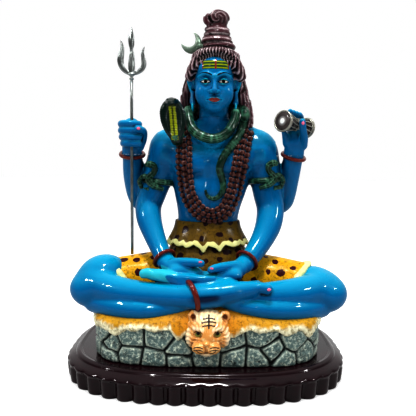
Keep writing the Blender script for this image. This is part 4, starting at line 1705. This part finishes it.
# %% Tiger head
tiger_clay = Clay((-15, -63, 6), (18, -37, 36), fineness(0.36))
tiger_clay.egg([TIGER_X, -45.6, 22], [12, 9.4, 11], turn=(-14, 0, 0), soft=1)
tiger_clay.egg([1, -50.4, 19.8], [6, 6.6, 8], turn=(-8, 0, 0), soft=3)
tiger_clay.egg([0.6, -51.8, 10.8], [4.4, 3.6, 2.6], soft=1)
tiger_clay.egg([MUZZLE_X, -56.8, 17], [1.9, 1.8, 1.2], soft=1.2)
for side in (-1, 1):
    tiger_clay.egg([TIGER_X + side * 8, -48, 17.6], [4.6, 4.8, 5.6], soft=2)
    tiger_clay.egg([MUZZLE_X + side * 3.7, -54.6, 14.2], [4.3, 4.2, 3.5], soft=0.7)
    tiger_clay.egg([TIGER_X + side * 5.2, -51.4, 24.6], [3.4, 2.6, 1.8], turn=(0, side * 14, 0), soft=1.6)
    tiger_clay.egg([TIGER_X + side * TIGER_EYE_OUT, -54.4, TIGER_EYE_Z], [2.7, 2.2, 1.8], soft=1.2,
                   carve=True)
    tiger_clay.egg([TIGER_X + side * TIGER_EYE_OUT, -51.4, TIGER_EYE_Z], [2.1, 1.8, 1.5], soft=0.3)
    tiger_clay.egg([EAR_X + side * 8.8, -46.4, 29.4], [3.2, 2.2, 3.3], turn=(0, side * 20, 0), soft=1)
    tiger_clay.egg([EAR_X + side * 8.9, -48.8, 29.2], [1.7, 2.2, 1.8], soft=0.6, carve=True)
    tiger_clay.egg([MUZZLE_X + side * 1.1, -59, 16.6], [0.6, 0.9, 0.45], soft=0.3, carve=True)
tiger_clay.limb([[MUZZLE_X, -60, 16, 0.35], [MUZZLE_X, -58.6, 13.6, 0.4], [MUZZLE_X, -57, 11.6, 0.4]],
                soft=0.6, carve=True)
tiger_clay.relief(fur)
fire("tiger_head", tiger_clay, tiger_paint, masks={
    "cream": cream, "crown": crown, "inner_ear": inner_ear,
    "tiger_strokes": strokes, "tiger_eye": tiger_eye, "tiger_pupil": tiger_pupil})

# %% [markdown]
# The hand drum is turned: an hourglass body between two skins, rims that hold the skins, and
# cords laced from rim to rim. Turned work is a profile swept round an axis.

# %% Drum finishes
drum_wood, tree, shader = finish("drum_wood", roughness=0.4, coat=0.5, coat_roughness=0.12)
worn = touches(tree, 330.0, 0.5, 5.0)
lay_colour(shader, blend(tree, worn, rgb(0.10, 0.08, 0.08), rgb(0.42, 0.38, 0.36)))
rim_silver, tree, shader = finish("rim_silver", roughness=0.3, coat=0.3, metallic=0.5)
lay_colour(shader, blend(tree, cloud(tree, 260.0), rgb(0.30, 0.30, 0.28), rgb(0.86, 0.85, 0.80)))
drum_skin, tree, shader = finish("drum_skin", roughness=0.45, coat=0.4, coat_roughness=0.2)
skin_tone = blend(tree, cloud(tree, 420.0), rgb(0.10, 0.08, 0.08), rgb(0.40, 0.36, 0.35))
lay_colour(shader, blend(tree, mask(tree, "white_dot"), skin_tone, rgb(0.94, 0.94, 0.93)))

# %% Hand drum
DRUM_SIDES, LACES = 48, 12
DOT_RADIUS = 2.0
drum_side = unit(np.cross(DRUM_AXIS, (0, 0, 1)))
drum_other = np.cross(DRUM_AXIS, drum_side)


def on_drum(radius, along, angle):
    """A place on the drum: out from its axis, along it and round it."""
    round_it = drum_side * math.cos(angle) + drum_other * math.sin(angle)
    return DRUM_MIDDLE + DRUM_AXIS * along + round_it * radius


def drum_lathe(profile):
    """A closed turned form from a profile of (radius, distance along the axis)."""
    return loft([[on_drum(radius, along, angle) for angle in full_turn(DRUM_SIDES)]
                 for radius, along in profile])


HALF_PROFILE = [(3.5, 1.6), (4.6, 5.6), (5.6, 10.2), (6.0, 11.8)]
other_half = [(radius, -along) for radius, along in HALF_PROFILE[::-1]]
joined_piece("drum_body", [drum_lathe(smooth_line([*other_half, (3.4, 0), *HALF_PROFILE], 4))], drum_wood)
SKIN_PROFILE = [(5.9, 11.6), (5.9, 12.5), (5.2, 12.8), (3.4, 12.95), (1.9, 13), (1.5, 13.05), (0.5, 13.1)]
skins = [drum_lathe([(radius, end * along) for radius, along in SKIN_PROFILE][::end]) for end in (-1, 1)]
from_axis = np.linalg.norm(np.cross(gather(skins)[0] - DRUM_MIDDLE, DRUM_AXIS), axis=1)
joined_piece("drum_skins", skins, drum_skin, {"white_dot": np.clip((DOT_RADIUS - from_axis) * 3, 0, 1)})

# %% Drum rims and cords
RIMS = ((-12.2, 6.2, 0.6), (12.2, 6.2, 0.6), (-10.9, 5.95, 0.45), (10.9, 5.95, 0.45), (0, 3.6, 0.7))
joined_piece("drum_rims", [hoop(DRUM_MIDDLE + DRUM_AXIS * along, DRUM_AXIS, radius, wire, 64, 12)
                           for along, radius, wire in RIMS], rim_silver)
# Each lace runs from rim to rim, drawn in at the waist: share of its turn, place along, radius.
LACE = ((0, -11.4, 6.2), (0.3, -5.6, 4.85), (0.5, 0, 3.9), (0.7, 5.6, 4.85), (1, 11.4, 6.2))
lacing = []
for n in range(LACES):
    path = [on_drum(radius, along, (n + share) * 2 * math.pi / LACES) for share, along, radius in LACE]
    lacing.append(cord([[*place_on_path, 0.34] for place_on_path in path], 6, 4)[0])
joined_piece("drum_cords", lacing, rim_silver)

# %% Nails
nail_paint, tree, shader = finish("nail_paint", roughness=0.25, coat=1.0)
lay_colour(shader, rgb(0.93, 0.48, 0.60))
nails = [pebble(np.array(THUMB_TIPS[-1]) + (-0.4, -1.5, 1.0), (1.2, 0.6, 0.95), (25, 0, 0)),
         pebble(np.array(THUMB_TIPS[1]) + (0.4, -1.5, 1.0), (1.2, 0.6, 0.95), (25, 0, 0)),
         pebble((-42.2, -11.7, 135.2), (1.2, 0.6, 1.0), (0, 0, 10)),
         pebble((58.3, -9.2, 139.6), (1.0, 0.6, 1.2), (-6, 0, -6)),
         pebble((35.4, -44.6, 44.4), (1.3, 0.6, 0.9), (-10, 0, 12))]
nails += [pebble((37.4 - 1.5 * toe, -42 + 2.7 * toe, 45.6), (0.8, 0.9, 0.4), (0, 30, 0))
          for toe in range(1, 5)]
joined_piece("nails", nails, nail_paint)

# %% [markdown]
# The plinth is turned and carved wood under black-red lacquer: a flat platform with a fine bead
# at its edge, a slope down and out, a rounded lip, and under it a ring of convex reeds that still
# show in the lip as faint scallops. One profile is carried round a squared oval, and the reeds
# swell out of it row by row.

# %% Plinth lacquer
plinth_lacquer, tree, shader = finish("plinth_lacquer", roughness=0.22, coat=0.7, coat_roughness=0.05,
                                      specular=0.1)
wood_grain = cloud(tree, 70.0, 4.0, 0.6, (1, 1, 6))
lay_colour(shader, blend(tree, wood_grain, rgb(0.04, 0.0, 0.02), rgb(0.17, 0.04, 0.08)))

# %% Plinth
REEDS, PER_REED = 48, 10
REED_BED, REED_SWELL = 1.4, 3.3        # how deep the grooves lie, and how far the reeds stand out of them
plinth_line, plinth_out, *_ = squared_oval(79, 53.5, 2.7, REEDS * PER_REED, back=0.9)
reed = np.abs(np.sin(np.arange(REEDS * PER_REED) / PER_REED * np.pi)) ** 0.9
# Rows of height and outward offset in millimetres, and share of the reeds.
PLINTH = ((0, 4.2, 0.8), (0.7, 4.9, 1), (2, 5.3, 1), (5, 5.7, 1), (8.5, 6.0, 1), (10, 6.3, 0.75),
          (10.8, 7.0, 0.45), (11.4, 7.5, 0.25), (12.2, 7.4, 0.2), (13.2, 6.5, 0), (14.2, 4.8, 0),
          (14.9, 3.4, 0), (15.2, 2.9, 0), (15.5, 2.7, 0), (16.2, 2.2, 0), (16.8, 1.2, 0), (17.1, 0.4, 0),
          (16.9, -0.4, 0), (16.8, -1.3, 0), (16.8, -3, 0), (16.8, -20, 0))
rings = []
for z, out, share in smooth_line(PLINTH, 3):
    out = out + np.clip(share, 0, 1) * (REED_SWELL * reed - REED_BED)
    ring = plinth_line + plinth_out * out[:, None]
    rings.append(np.column_stack([ring, np.full(len(ring), max(z, 0))]))
points, faces = loft(rings)
make_piece("plinth_body", points / 1000, faces, plinth_lacquer, node="plinth", slot="plinth_lacquer")

# %% [markdown]
# The trident is the one metal part: a round staff through the fist, and a flat head of three
# leaf-shaped blades that grow out of each other. The head is clay flattened from front to back,
# because its curves melt together, and the staff is a plain cord.

# %% Trident metal
trident_metal, tree, shader = finish("trident_metal", roughness=0.3, coat=0.0, metallic=1.0)
lay_colour(shader, blend(tree, cloud(tree, 140.0), rgb(0.36, 0.38, 0.38), rgb(0.80, 0.82, 0.81)))

# %% Trident
HEAD_HEIGHT = 30.0
STAFF_RADIUS = 0.9
FLAT_BLADE = ((0, 1, 0), 0.5)
MIDDLE_BLADE = ((0, 1, 1.6), (0, 6, 2.1), (0.2, 12, 1.7), (0, 16, 1), (0, 19, 1.7), (-0.1, 22.5, 1.9),
                (0, 26, 1.1), (0, HEAD_HEIGHT - 0.4, 0.25))
LEFT_BLADE = ((0, 1.6, 1.2), (-3, 2.4, 1.3), (-5.8, 5.2, 1.6), (-6.8, 9.4, 2), (-6.2, 13.6, 1.7),
              (-5.7, 17.6, 1.1), (-6.5, 21.4, 0.25))
RIGHT_BLADE = ((0, 1.6, 1.2), (3.4, 2.2, 1.3), (6.4, 4.4, 1.5), (7.6, 7.6, 1.6), (7.2, 11, 1.3),
               (6.8, 14.4, 0.9), (8, 17.8, 0.25))
staff_x, staff_y = STAFF_AT
foot, tip = ((corner[2] - SEAT_LEVEL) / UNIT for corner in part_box("trident"))
collar = tip - HEAD_HEIGHT


def on_trident(*stations):
    """Stations of (distance from the staff, height over the collar, radius) as places."""
    return [[staff_x + out, staff_y, collar + rise, radius] for out, rise, radius in stations]


trident_clay = Clay((staff_x - 10, staff_y - 4, collar - 4), (staff_x + 11, staff_y + 4, tip + 1),
                    fineness(0.23))
for blade, melt in ((MIDDLE_BLADE, 0.4), (LEFT_BLADE, 0.5), (RIGHT_BLADE, 0.5)):
    trident_clay.limb(on_trident(*blade), soft=melt, flat=FLAT_BLADE)
trident_clay.egg([staff_x, staff_y, collar + 1.2], [2.3, 1.6, 0.9], soft=0.3)
trident_clay.egg([staff_x, staff_y, collar - 1.6], [1.5, 1.4, 0.8], soft=0.3)
trident_clay.limb(on_trident((0, -3.9, 0.76), (0, 2, 0.8)), soft=0.3)
staff_heights = (foot + 0.1, foot + 30, foot + 60, collar - 3.2)
staff = cord([[staff_x, staff_y, z, STAFF_RADIUS] for z in staff_heights], 20, 4)[0]
joined_piece("trident_metalwork", [trident_clay.skin(), staff], trident_metal, node="trident",
             slot="trident_metal")
